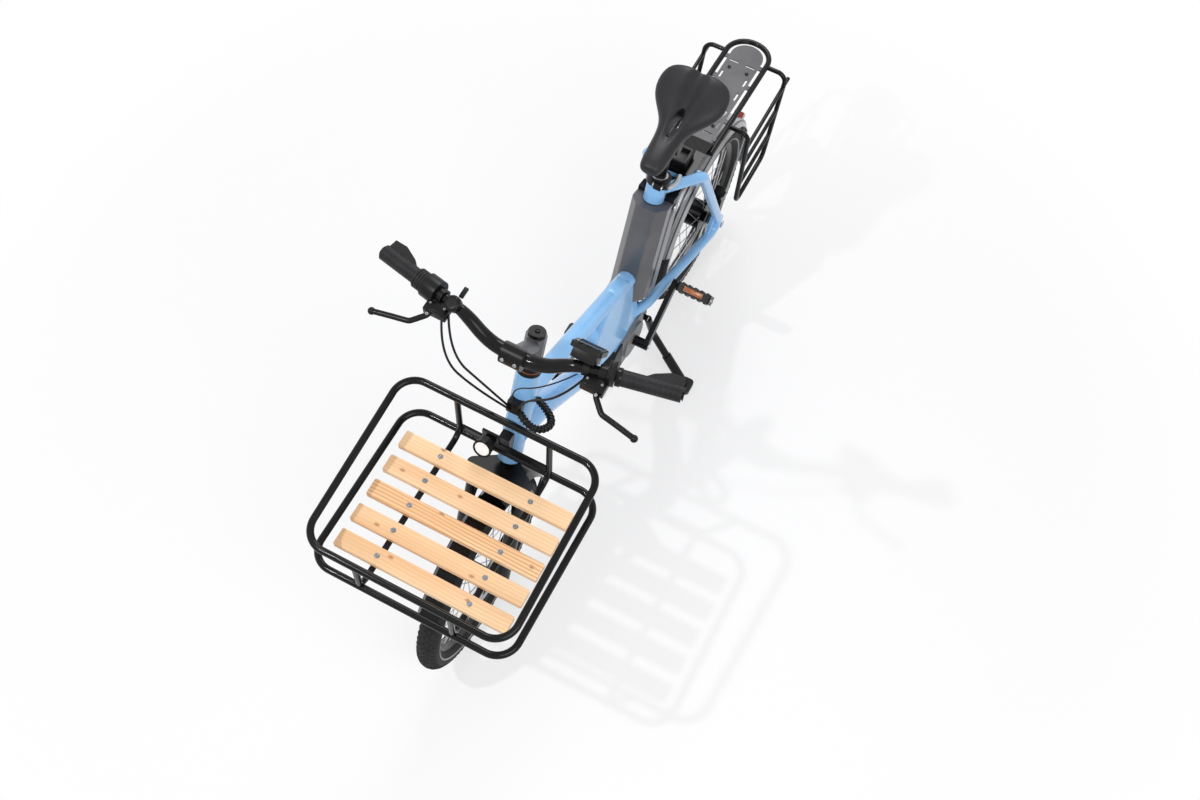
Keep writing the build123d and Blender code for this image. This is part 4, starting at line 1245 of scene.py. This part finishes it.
@dataclass
class Cables:
    """Brake hoses, shift cable, display wire and the wrapped loom beside the head tube."""

    layout: Layout
    guide: float = 0.548
    front: float = 0.047
    wrap_pitch: float = 0.0085
    wrap_radius: float = 0.0021
    wrap_steps: int = 6
    stays_at: tuple[float, float] = (0.030, 0.02)  # forward, and along from the guide block
    turns_at: tuple[float, float] = (0.100, 0.20)

    def lines(self) -> list[Line]:
        """The cables' routes, repeated from the CAD source, with the loom's loop rounded a little."""
        bar, steer, guide, front = self.layout.bar, self.layout.steer, self.guide, self.front
        return [
            Line("shift_cable", 0.0025, (
                bar(-0.150) + Vector((0.020, 0, -0.012)), bar(-0.135) + Vector((0.070, 0.014, -0.062)),
                steer(0.096, -0.052, 0.640), steer(front, -0.012, guide + 0.016)), "stiff"),
            Line("front_hose", 0.0025, (
                bar(-0.166) + Vector((0.022, 0, -0.016)), bar(-0.150) + Vector((0.084, 0.010, -0.070)),
                steer(0.104, -0.062, 0.625), steer(front, -0.005, guide + 0.008)), "stiff"),
            Line("rear_hose", 0.0025, (
                bar(0.150) + Vector((0.020, 0, -0.012)), bar(0.120) + Vector((0.058, 0, -0.054)),
                steer(0.084, 0.030, 0.640), steer(front, 0.012, guide + 0.017)), "stiff"),
            Line("display_wire", 0.0015, (
                bar(0.136) + Vector((0.014, 0, -0.006)), bar(0.090) + Vector((0.048, 0, -0.040)),
                steer(0.092, -0.006, 0.660), steer(front, 0.003, guide + 0.019)), "medium"),
            Line("wrapped_loom", 0.007, (
                steer(front - 0.006, 0.015, guide + 0.005), steer(0.070, 0.060, guide - 0.006),
                steer(-0.001, 0.093, guide - 0.011), steer(-0.027, 0.022, guide - 0.004)), "limp"),
        ]

    @staticmethod
    def centre_line(line: Line) -> list[Vector]:
        """Reads points from the cable's own smooth curve.

        Args:
            line: The cable.

        Returns:
            Points along its middle, from the handlebar on.
        """
        thread = Bench.curve(line.name, line.route, 0, 48)
        bpy.context.view_layer.update()
        mesh = bpy.data.meshes.new_from_object(thread.evaluated_get(bpy.context.evaluated_depsgraph_get()))
        points = [vertex.co.copy() for vertex in mesh.vertices]
        bpy.data.meshes.remove(mesh)
        bpy.data.objects.remove(thread)
        return points

    def build(self) -> None:
        """Lays each cable and adds the loom's wrap."""
        stays, turns = (self.layout.steer(forward, 0, self.guide + along)
                        for forward, along in (self.stays_at, self.turns_at))
        for line in self.lines():
            path = self.centre_line(line)
            length = sum((there - here).length for here, there in zip(path, path[1:]))
            tube = Bench.tube(line.name, line.route, line.radius)
            tube.data.materials.clear()
            tube.data.materials.append(Finishes.BLACK_PLASTIC.material())
            wrapped = line.name == "wrapped_loom"
            if wrapped:
                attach(tube, Rider.FRAME.value)
            else:
                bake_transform(tube)
            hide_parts("cables")
            extras = [self.wrap(line, path)] if wrapped else []
            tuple(path[-1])
            2 * line.radius
            [tuple(point) for point in reversed(path)]
            log.info("%s is %.3f m long", line.name, length)

    def wrap(self, line: Line, path: list[Vector]) -> bpy.types.Object:
        """The spiral wrap that winds around the loom.

        Args:
            line: The loom.
            path: Points along its middle.

        Returns:
            The wrap as one piece.
        """
        spots = []
        walked = 0.0
        for here, there in zip(path, path[1:]):
            lean = (there - here).normalized()
            across = lean.cross(UP).normalized()
            over = across.cross(lean)
            for step in range(self.wrap_steps):
                share = step / self.wrap_steps
                turn = 2 * math.pi * (walked + share * (there - here).length) / self.wrap_pitch
                ring = across * math.cos(turn) + over * math.sin(turn)
                spots.append(here.lerp(there, share) + ring * line.radius)
            walked += (there - here).length
        spiral = Bench.tube("loom_wrap", spots, self.wrap_radius, 3)
        return Bench.fit(spiral, Finishes.GLOSS_BLACK, Rider.FRAME, "black_plastic")


@dataclass
class Controls:
    """Small pieces on the handlebar and the stem.

    Places along the bar are counted to the left from its middle.
    """

    layout: Layout
    bar_radius: float = 0.0156
    bar_places: tuple[float, ...] = (0.024, 0.056, 0.122, 0.1385)
    bar_taper: tuple[float, ...] = (1, 0.98, 0.9, 0.74)
    screen_facing: Triple = (-0.8, 0, 0.6)
    screen_place: float = 0.147
    screen_shift: float = -0.010
    screen_reach: float = 0.044
    case: Panel = Panel((0.046, 0.052, 0.020), 0.006, 0.002, 0.004, 3, (0, 0, -1))
    case_place: Triple = (0, 0, -0.0205)
    glass: Panel = Panel((0.046, 0.056, 0.0024), 0.003, -0.0008, 0.0006)
    glass_place: Triple = (-0.004, 0, 0.0006)
    button: Fastener = Fastener(0.0045, 0.0022)
    button_row: float = 0.025
    buttons: tuple[float, ...] = (-0.016, 0, 0.016)
    grip_place: float = 0.2
    housing: Drum = Drum(0.0265, 0.034, 0.004, 0.002, 0.007, 4, 40)
    housing_place: float = -0.1865
    rib: Collar = Collar(0.0165, 0.0222, 0.0055, 40)
    rib_place: float = -0.221
    rib_pitch: float = 0.006
    ribs: int = 4
    lever_place: float = 0.180
    pump: Panel = Panel((0.032, 0.050, 0.020), 0.004, 0.0022, 0.0045, 3)
    pump_offset: Triple = (0.026, -0.005, -0.010)
    lid_screw: Fastener = Fastener(0.0028, 0.0018)
    lid_rise: float = 0.0120
    lid_screws: tuple[float, ...] = (-0.016, 0.016)
    pin: Fastener = Fastener(0.0036, 0.0026)
    pin_offset: Triple = (0.046, 0.008, -0.0085)
    collar: Collar = Collar(0.0165, 0.0192, 0.011)
    collar_place: float = 0.2052
    end_cap: Fastener = Fastener(0.013, 0.0022)
    end_place: float = 0.3355
    thumb: Panel = Panel((0.024, 0.009, 0.007), 0.0016, 0.0012, 0.0018)
    bell_place: float = -0.143
    thumb_rise: float = 0.021
    thumb_back: float = 0.024
    switch: Panel = Panel((0.040, 0.034, 0.0155), 0.003, 0.0016, 0.003, 2, (0, 1, 0))
    switch_facing: float = 0.196
    switch_place: float = 0.1965
    switch_rise: float = 0.006
    key: Fastener = Fastener(0.0042, 0.0030)
    key_rise: float = 0.0165
    keys: tuple[float, ...] = (-0.010, 0.0, 0.010)
    bolts: tuple[BoltSet, ...] = (
        BoltSet("faceplate_bolts", Fastener(0.0044, 0.0034), Space.HEAD, (((0.1298, 0.014, 0.765), FORE),),
                True, Rider.STEERING),
        BoltSet("stem_pinch_bolts", Fastener(0.004, 0.005), Space.HEAD,
                (((-0.0215, 0, 0.692), AFT), ((-0.0215, 0, 0.720), AFT)), False, Rider.STEERING,
                Finishes.BLACK_POWDER),
        BoltSet("cap_bolt", Fastener(0.0058, 0.0030), Space.HEAD, (((0, 0, 0.7506), ALONG),), False,
                Rider.STEERING, Finishes.BLACK_POWDER),
    )
    ring: Collar = Collar(0.0180, 0.0252, 0.0042)
    ring_rise: float = 0.0075

    def build(self) -> None:
        """Fits all of them."""
        self.build_bar()
        self.build_screen()
        self.build_shifter()
        self.build_levers()
        self.build_collars()
        self.build_bell()
        self.build_remote()
        self.build_bolts()

    def out(self, left: float) -> Vector:
        """The handlebar's direction outwards at a place to the left."""
        return (self.layout.bar(left * 1.01) - self.layout.bar(left)).normalized()

    def by_lever(self, offset: Triple, side: int) -> Vector:
        """A point set off from the left lever's clamp, or its mirror image on the right."""
        forward, left, up = offset
        return self.layout.bar(side * self.lever_place) + Vector((forward, side * left, up))

    def build_bar(self) -> None:
        """The handlebar's thick middle, which tapers towards the controls."""
        layout, halves = self.layout, []
        first, second, bend, last = self.bar_places
        for side in BOTH_SIDES:
            route = [layout.steer(layout.bar_forward, side * first, layout.bar_rise),
                     layout.steer(layout.bar_forward, side * second, layout.bar_rise),
                     layout.steer(layout.bar_forward - layout.bar_set_back, side * bend,
                                  layout.bar_rise + layout.bar_bend_rise),
                     layout.bar(side * last)]
            halves.append(Bench.tube("bar_middle", route, self.bar_radius, 24, self.bar_taper))
        Bench.fit(Bench.join("bar_middle", halves), Finishes.GLOSS_BLACK, Rider.STEERING)

    def build_screen(self) -> None:
        """The display's case behind its plate, the glass and three buttons under it."""
        facing = Vector(self.screen_facing)
        centre = self.layout.bar(self.screen_place) + LEFT * self.screen_shift + facing * self.screen_reach
        place = Bench.basis(LEFT.cross(facing), LEFT, centre)
        self.case.lay("display_case", [place @ Matrix.Translation(self.case_place)], Rider.STEERING,
                      Finishes.BLACK_PLASTIC)
        self.glass.lay("display_glass", [place @ Matrix.Translation(self.glass_place)], Rider.STEERING,
                       Finishes.SCREEN)
        spots = [(place @ Vector((self.button_row, across, 0)), facing) for across in self.buttons]
        self.button.spread("display_buttons", spots, Rider.STEERING, Finishes.BLACK_PLASTIC)

    def build_shifter(self) -> None:
        """The twist shifter's rounded housing and its ribbed sleeve, on the right."""
        out = self.out(-self.grip_place)
        self.housing.lay("shifter_housing", [Bench.turn(out, self.layout.bar(self.housing_place))],
                         Rider.STEERING, Finishes.BLACK_PLASTIC)
        start = self.layout.bar(self.rib_place)
        places = [Bench.turn(out, start + out * (self.rib_pitch * number)) for number in range(self.ribs)]
        self.rib.lay("shifter_sleeve", places, Rider.STEERING, Finishes.SOFT_RUBBER)

    def build_levers(self) -> None:
        """The brake levers' pump bodies with their screwed lids."""
        middles = [self.by_lever(self.pump_offset, side) for side in BOTH_SIDES]
        self.pump.lay("lever_pumps", [Matrix.Translation(middle) for middle in middles], Rider.STEERING,
                      Finishes.BLACK_POWDER)
        lids = [(middle + Vector((0, along, self.lid_rise)), UP)
                for middle in middles for along in self.lid_screws]
        self.lid_screw.spread("lid_screws", lids, Rider.STEERING, Finishes.BOLT_ZINC)

    def build_collars(self) -> None:
        """The grips' clamp collars and end caps."""
        outs = [(side, self.out(side * self.grip_place)) for side in BOTH_SIDES]
        places = [Bench.turn(out, self.layout.bar(side * self.collar_place)) for side, out in outs]
        self.collar.lay("grip_collars", places, Rider.STEERING, Finishes.GLOSS_BLACK)
        caps = [(self.layout.bar(side * self.end_place), out) for side, out in outs]
        self.end_cap.spread("grip_end_caps", caps, Rider.STEERING, Finishes.BLACK_PLASTIC)

    def build_bell(self) -> None:
        """The bell's striker thumb."""
        back = self.out(self.bell_place).cross(UP).normalized()
        spot = self.layout.bar(self.bell_place) + UP * self.thumb_rise + back * self.thumb_back
        self.thumb.lay("bell_thumb", [Bench.basis(Vector((-1, 0, 0)), RIGHT, spot)], Rider.STEERING,
                       Finishes.BLACK_PLASTIC)

    def build_remote(self) -> None:
        """The left-hand switch block beside the grip, with its keys."""
        out = self.out(self.switch_facing)
        ahead = out.cross(UP).normalized()
        above = ahead.cross(out)
        place = Bench.basis(ahead, above, self.layout.bar(self.switch_place) + above * self.switch_rise)
        self.switch.lay("switch_block", [place], Rider.STEERING, Finishes.BLACK_PLASTIC)
        keys = [(place @ Vector((across, self.key_rise, 0)), above) for across in self.keys]
        self.key.spread("switch_keys", keys, Rider.STEERING, Finishes.SOFT_RUBBER)

    def build_bolts(self) -> None:
        """The faceplate, stem, cap and lever bolts, and the headset's copper ring."""
        for bolts in self.bolts:
            bolts.build(self.layout)
        pins = [(self.by_lever(self.pin_offset, side), UP) for side in BOTH_SIDES]
        self.pin.spread("lever_pins", pins, Rider.STEERING)
        seat = self.layout.steer(0, 0, self.layout.head_high + self.ring_rise)
        self.ring.lay("headset_ring", [Bench.turn(self.layout.way(Space.HEAD, ALONG), seat)], Rider.STEERING,
                      Finishes.COPPER_RING)


@dataclass
class Pedal:
    """A pedal's amber reflectors, tread ridges and end bolts."""

    layout: Layout
    crank: float = 0.170
    crank_angle: float = math.radians(151)
    tilt: float = math.radians(60)
    out: float = 0.139
    half_width: float = 0.033
    half_height: float = 0.012
    half_length: float = 0.046
    reflector: Panel = Panel((0.052, 0.013, 0.0036), 0.0012, -0.0006, 0.0006)
    ridge: Panel = Panel((0.048, 0.005, 0.0044), 0.0010, 0.0006, 0.0008)
    ridges: tuple[float, ...] = (-0.034, -0.017, 0.0, 0.017, 0.034)
    end_bolt: Fastener = Fastener(0.0042, 0.0020)
    end_bolts: tuple[float, ...] = (-0.022, 0.0, 0.022)

    def build(self, name: str, side: int, rider: Rider) -> None:
        """Fits the reflectors on both long edges, the ridges on both faces and the bolts on the end.

        Args:
            name: The pedal's name.
            side: 1 on the left, -1 on the right.
            rider: The pedal's body.
        """
        angle = self.crank_angle if side > 0 else self.crank_angle + math.pi
        centre = self.layout.at(self.layout.bracket_x + self.crank * math.cos(angle), side * self.out,
                                self.layout.bracket_z + self.crank * math.sin(angle))
        face = Vector((-math.sin(self.tilt), 0, math.cos(self.tilt)))
        edge = Vector((math.cos(self.tilt), 0, math.sin(self.tilt)))
        places = [Bench.basis(LEFT, (edge * way).cross(LEFT), centre + edge * (way * self.half_width))
                  for way in BOTH_SIDES]
        self.reflector.lay(f"{name}_reflectors", places, rider, Finishes.AMBER_LENS)
        rows = [Bench.basis(edge, (face * way).cross(edge),
                            centre + face * (way * self.half_height) + LEFT * along)
                for way in BOTH_SIDES for along in self.ridges]
        self.ridge.lay(f"{name}_ridges", rows, rider, Finishes.BLACK_PLASTIC)
        end = centre + LEFT * (side * self.half_length)
        ends = [(end + edge * along, LEFT * side) for along in self.end_bolts]
        self.end_bolt.spread(f"{name}_end_bolts", ends, rider)


@dataclass
class Hardware:
    """Bolts, rings and small trim on the frame, the rack, the drive and the wheels."""

    layout: Layout
    bolts: tuple[BoltSet, ...] = (
        BoltSet("strip_bolts", Fastener(0.0045, 0.003), Space.HEAD,
                (((0.030, 0, 0.425), FORE), ((0.030, 0, 0.505), FORE))),
        BoltSet("battery_lock", Fastener(0.0085, 0.004), Space.SEAT_TUBE, (((-0.029, 0.0462, 0.414), OUT),)),
        BoltSet("clamp_nuts", Fastener(0.0050, 0.0040), Space.SEAT_TUBE,
                (((0.030, 0.0188, 0.495), OUT), ((0.030, 0.0012, 0.495), IN))),
        BoltSet("plate_bolts", Fastener(0.0046, 0.0022), Space.FLOOR,
                (((-0.160, 0.024, 0.674072), PLATE_UP), ((0.040, 0.024, 0.690732), PLATE_UP)), True,
                Rider.FRAME, Finishes.BLACK_POWDER),
        BoltSet("rack_plugs", Fastener(0.0066, 0.0030), Space.FLOOR, (((0.1212, 0.056, 0.6958), TUBE_FORE),),
                True, Rider.FRAME, Finishes.BLACK_PLASTIC),
        BoltSet("latch_screws", Fastener(0.0036, 0.0026), Space.FLOOR, (((0.192, 0.027, 0.7402), ALONG),),
                True),
        BoltSet("crank_bolts", Fastener(0.009, 0.003), Space.FLOOR, (((0.458, 0.088, 0.305), OUT),), True,
                Rider.CRANKS),
        BoltSet("guard_screws", Fastener(0.0042, 0.0022), Space.FLOOR,
                (((0.240, -0.070, 0.300), IN), ((0.240, -0.070, 0.252), IN), ((0.345, -0.070, 0.352), IN))),
        BoltSet("stand_nuts", Fastener(0.0075, 0.0034), Space.FLOOR, (((0.345, 0.0355, 0.232), OUT),), True,
                Rider.STAND),
        BoltSet("front_caliper_bolts", Fastener(0.0045, 0.003), Space.FLOOR,
                (((1.095, 0.046, 0.304), OUT), ((1.121, 0.046, 0.330), OUT)), False, Rider.STEERING),
        BoltSet("rear_caliper_bolts", Fastener(0.0045, 0.003), Space.FLOOR,
                (((-0.039, 0.064, 0.323), OUT), ((-0.013, 0.064, 0.349), OUT))),
    )
    clamp_ring: Collar = Collar(0.0152, 0.0205, 0.0030)
    clamp_top: float = 0.5032
    lever_radius: float = 0.0046
    lever_route: tuple[Triple, ...] = (
        (0.030, 0.034, 0.4995),
        (0.012, 0.043, 0.503),
        (-0.010, 0.0445, 0.506),
        (-0.024, 0.041, 0.508),
    )
    latch: Triple = (0.050, 0.062, 0.016)
    latch_steps: tuple[tuple[float, float], ...] = ((0.006, -0.004), (0.008, 0.007))
    latch_edge: float = 0.0018
    latch_place: Triple = (0.192, 0, 0.7325)
    disc_bolt: Fastener = Fastener(0.0035, 0.0022)
    disc_bolts: int = 6
    disc_circle: float = 0.022
    front_disc: float = 0.032
    rear_disc: float = 0.051

    def build(self) -> None:
        """Fits every fastener and ring."""
        for bolts in self.bolts:
            bolts.build(self.layout)
        self.build_clamp()
        self.build_latch()
        self.build_discs()

    def build_clamp(self) -> None:
        """The seat clamp's ring and lever."""
        seat_up = self.layout.way(Space.SEAT_TUBE, ALONG)
        self.clamp_ring.lay("clamp_ring", [Bench.turn(seat_up, self.layout.seat(0, 0, self.clamp_top))],
                            Rider.FRAME, Finishes.BRIGHT_STEEL)
        route = [self.layout.seat(*spot) for spot in self.lever_route]
        Bench.fit(Bench.tube("clamp_lever", route, self.lever_radius), Finishes.BRIGHT_STEEL, Rider.FRAME)

    def build_latch(self) -> None:
        """The latch on the rack's front block."""
        latch = Bench.block("rack_latch", self.latch)
        for border, depth in self.latch_steps:
            Bench.inset(latch, UP, border, depth)
        Bench.soften(latch, self.latch_edge)
        latch.data.transform(Matrix.Translation(self.layout.at(*self.latch_place)))
        Bench.fit(latch, Finishes.BLACK_PLASTIC, Rider.FRAME)

    def build_discs(self) -> None:
        """The bolts around the brake discs' hubs."""
        wheels = (("front_disc_bolts", self.layout.front_axle, self.front_disc, Rider.FRONT_WHEEL),
                  ("rear_disc_bolts", self.layout.rear_axle, self.rear_disc, Rider.REAR_WHEEL))
        turns = [2 * math.pi * (number + 0.5) / self.disc_bolts for number in range(self.disc_bolts)]
        around = [Vector((math.cos(turn), 0, math.sin(turn))) * self.disc_circle for turn in turns]
        for name, centre, left, rider in wheels:
            self.disc_bolt.spread(name, [(centre + LEFT * left + spoke, LEFT) for spoke in around], rider)


@dataclass
class Studio:
    """The pale floor, the soft light and the camera at the photograph's viewpoint."""

    camera_place: Triple = (1.569739, 0.697610, 3.470854)
    camera_target: Triple = (0.065920, 0.051068, 0.3)
    camera_roll: float = 0.08585
    lens: float = 42.97
    sensor: float = 36
    floor_size: float = 40
    floor_drop: float = 0.0015
    floor_colour: Colour = (0.86, 0.86, 0.87, 1)
    floor_roughness: float = 0.6
    floor_specular: float = 0.2
    floor_glow: float = 0.6
    floor_white: Colour = (0.97, 0.97, 0.975, 1)
    floor_fade: tuple[float, float] = (0.5, 3.5)
    surround_light: float = 0.6
    surround_seen: float = 1.0
    lamp_target: Triple = (0.1, 0, 0.5)
    lamps: tuple[tuple[str, Triple, float, float], ...] = (  # name, place, size, power
        ("key", (1.72, -1.12, 3.5), 0.09, 41),
        ("fill", (1.5, 1.9, 3.2), 2.2, 44),
        ("rim", (-2.2, -0.6, 3.0), 1.4, 40),
    )

    def build(self) -> None:
        """Sets the whole stage."""
        self.build_floor()
        self.build_surround()
        self.build_lamps()
        self.build_camera()
        bpy.context.scene.view_settings.view_transform = "Standard"

    def build_floor(self) -> None:
        """A wide pale floor just under the tyres, nearly white to the camera but for the shadow."""
        bpy.ops.object.select_all(action="DESELECT")
        bpy.ops.mesh.primitive_plane_add(size=self.floor_size, location=(0, 0, -self.floor_drop))
        floor = Bench.named("floor")
        shader = Shader("pale_floor")
        shader.put("Base Color", self.floor_colour)
        shader.put("Roughness", self.floor_roughness)
        shader.put("Specular IOR Level", self.floor_specular)
        ahead, aside = shader.axis("X"), shader.axis("Y")
        far = shader.steps(ahead * ahead + aside * aside, *self.floor_fade)
        share = shader.seen() * (self.floor_glow + far * (1 - self.floor_glow))
        white = shader.mix(far, self.floor_white, WHITE)
        glow = shader.node("ShaderNodeEmission", {}, {"Color": white})
        lit = Wire(shader, shader.surface.outputs[0])
        mixed = shader.node("ShaderNodeMixShader", {}, {0: share, 1: lit, 2: glow})
        shader.plug(shader.tree.nodes["Material Output"], "Surface", mixed)
        floor.data.materials.append(shader.material)

    def build_surround(self) -> None:
        """A white surround that lights the bike softly."""
        world = bpy.data.worlds.new("studio")
        bpy.context.scene.world = world
        world.use_nodes = True
        graph = Graph(world.node_tree)
        soft = graph.tree.nodes["Background"]
        graph.plug(soft, "Color", WHITE)
        graph.plug(soft, "Strength", self.surround_light)
        plain = graph.node("ShaderNodeBackground", {}, {"Color": WHITE, "Strength": self.surround_seen})
        light = Wire(graph, soft.outputs[0])
        mixed = graph.node("ShaderNodeMixShader", {}, {0: graph.seen(), 1: light, 2: plain})
        graph.plug(graph.tree.nodes["World Output"], "Surface", mixed)

    def build_lamps(self) -> None:
        """The round lamps above the bike."""
        for name, place, size, power in self.lamps:
            data = bpy.data.lights.new(name, "AREA")
            data.shape = "DISK"
            data.size = size
            data.energy = power
            lamp = bpy.data.objects.new(name, data)
            lamp.location = place
            aim = Vector(self.lamp_target) - Vector(place)
            lamp.rotation_euler = aim.to_track_quat("-Z", "Y").to_euler()
            bpy.context.collection.objects.link(lamp)

    def build_camera(self) -> None:
        """The camera, levelled and then rolled as the photograph's was."""
        data = bpy.data.cameras.new("camera")
        data.lens = self.lens
        data.sensor_width = self.sensor
        camera = bpy.data.objects.new("camera", data)
        place, target = Vector(self.camera_place), Vector(self.camera_target)
        ahead = (target - place).normalized()
        level = ahead.cross(UP).normalized()
        up = level.cross(ahead)
        cosine, sine = math.cos(self.camera_roll), math.sin(self.camera_roll)
        across = level * cosine + up * sine
        upright = up * cosine - level * sine
        camera.matrix_world = Bench.basis(across, upright, place)
        bpy.context.collection.objects.link(camera)
        bpy.context.scene.camera = camera


def dress_nodes(nodes: dict[str, bpy.types.Object]) -> None:
    """Gives every CAD node its finish.

    Args:
        nodes: The loaded nodes by name.
    """
    for finish, names in NODE_FINISHES.items():
        for name in names:
            slots = nodes[name].data.materials
            slots.clear()
            slots.append(finish.material())
            log.info("%s has finish %s", name, finish.value.name)


def main() -> None:
    """Loads the bike, dresses it and sets the stage."""
    logging.basicConfig(level=logging.INFO, format="%(name)s: %(message)s")
    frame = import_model()
    layout = Layout()
    dress_nodes(frame["nodes"])
    Studio().build()
    Cables(layout).build()
    Saddle(layout).build()
    Tray(layout).build()
    Tread(layout).build("front_tread", layout.front_axle, Rider.FRONT_WHEEL)
    Tread(layout).build("rear_tread", layout.rear_axle, Rider.REAR_WHEEL)
    Controls(layout).build()
    Pedal(layout).build("pedal_left", 1, Rider.PEDAL_LEFT)
    Pedal(layout).build("pedal_right", -1, Rider.PEDAL_RIGHT)
    Hardware(layout).build()


if __name__ == "__main__":
    main()
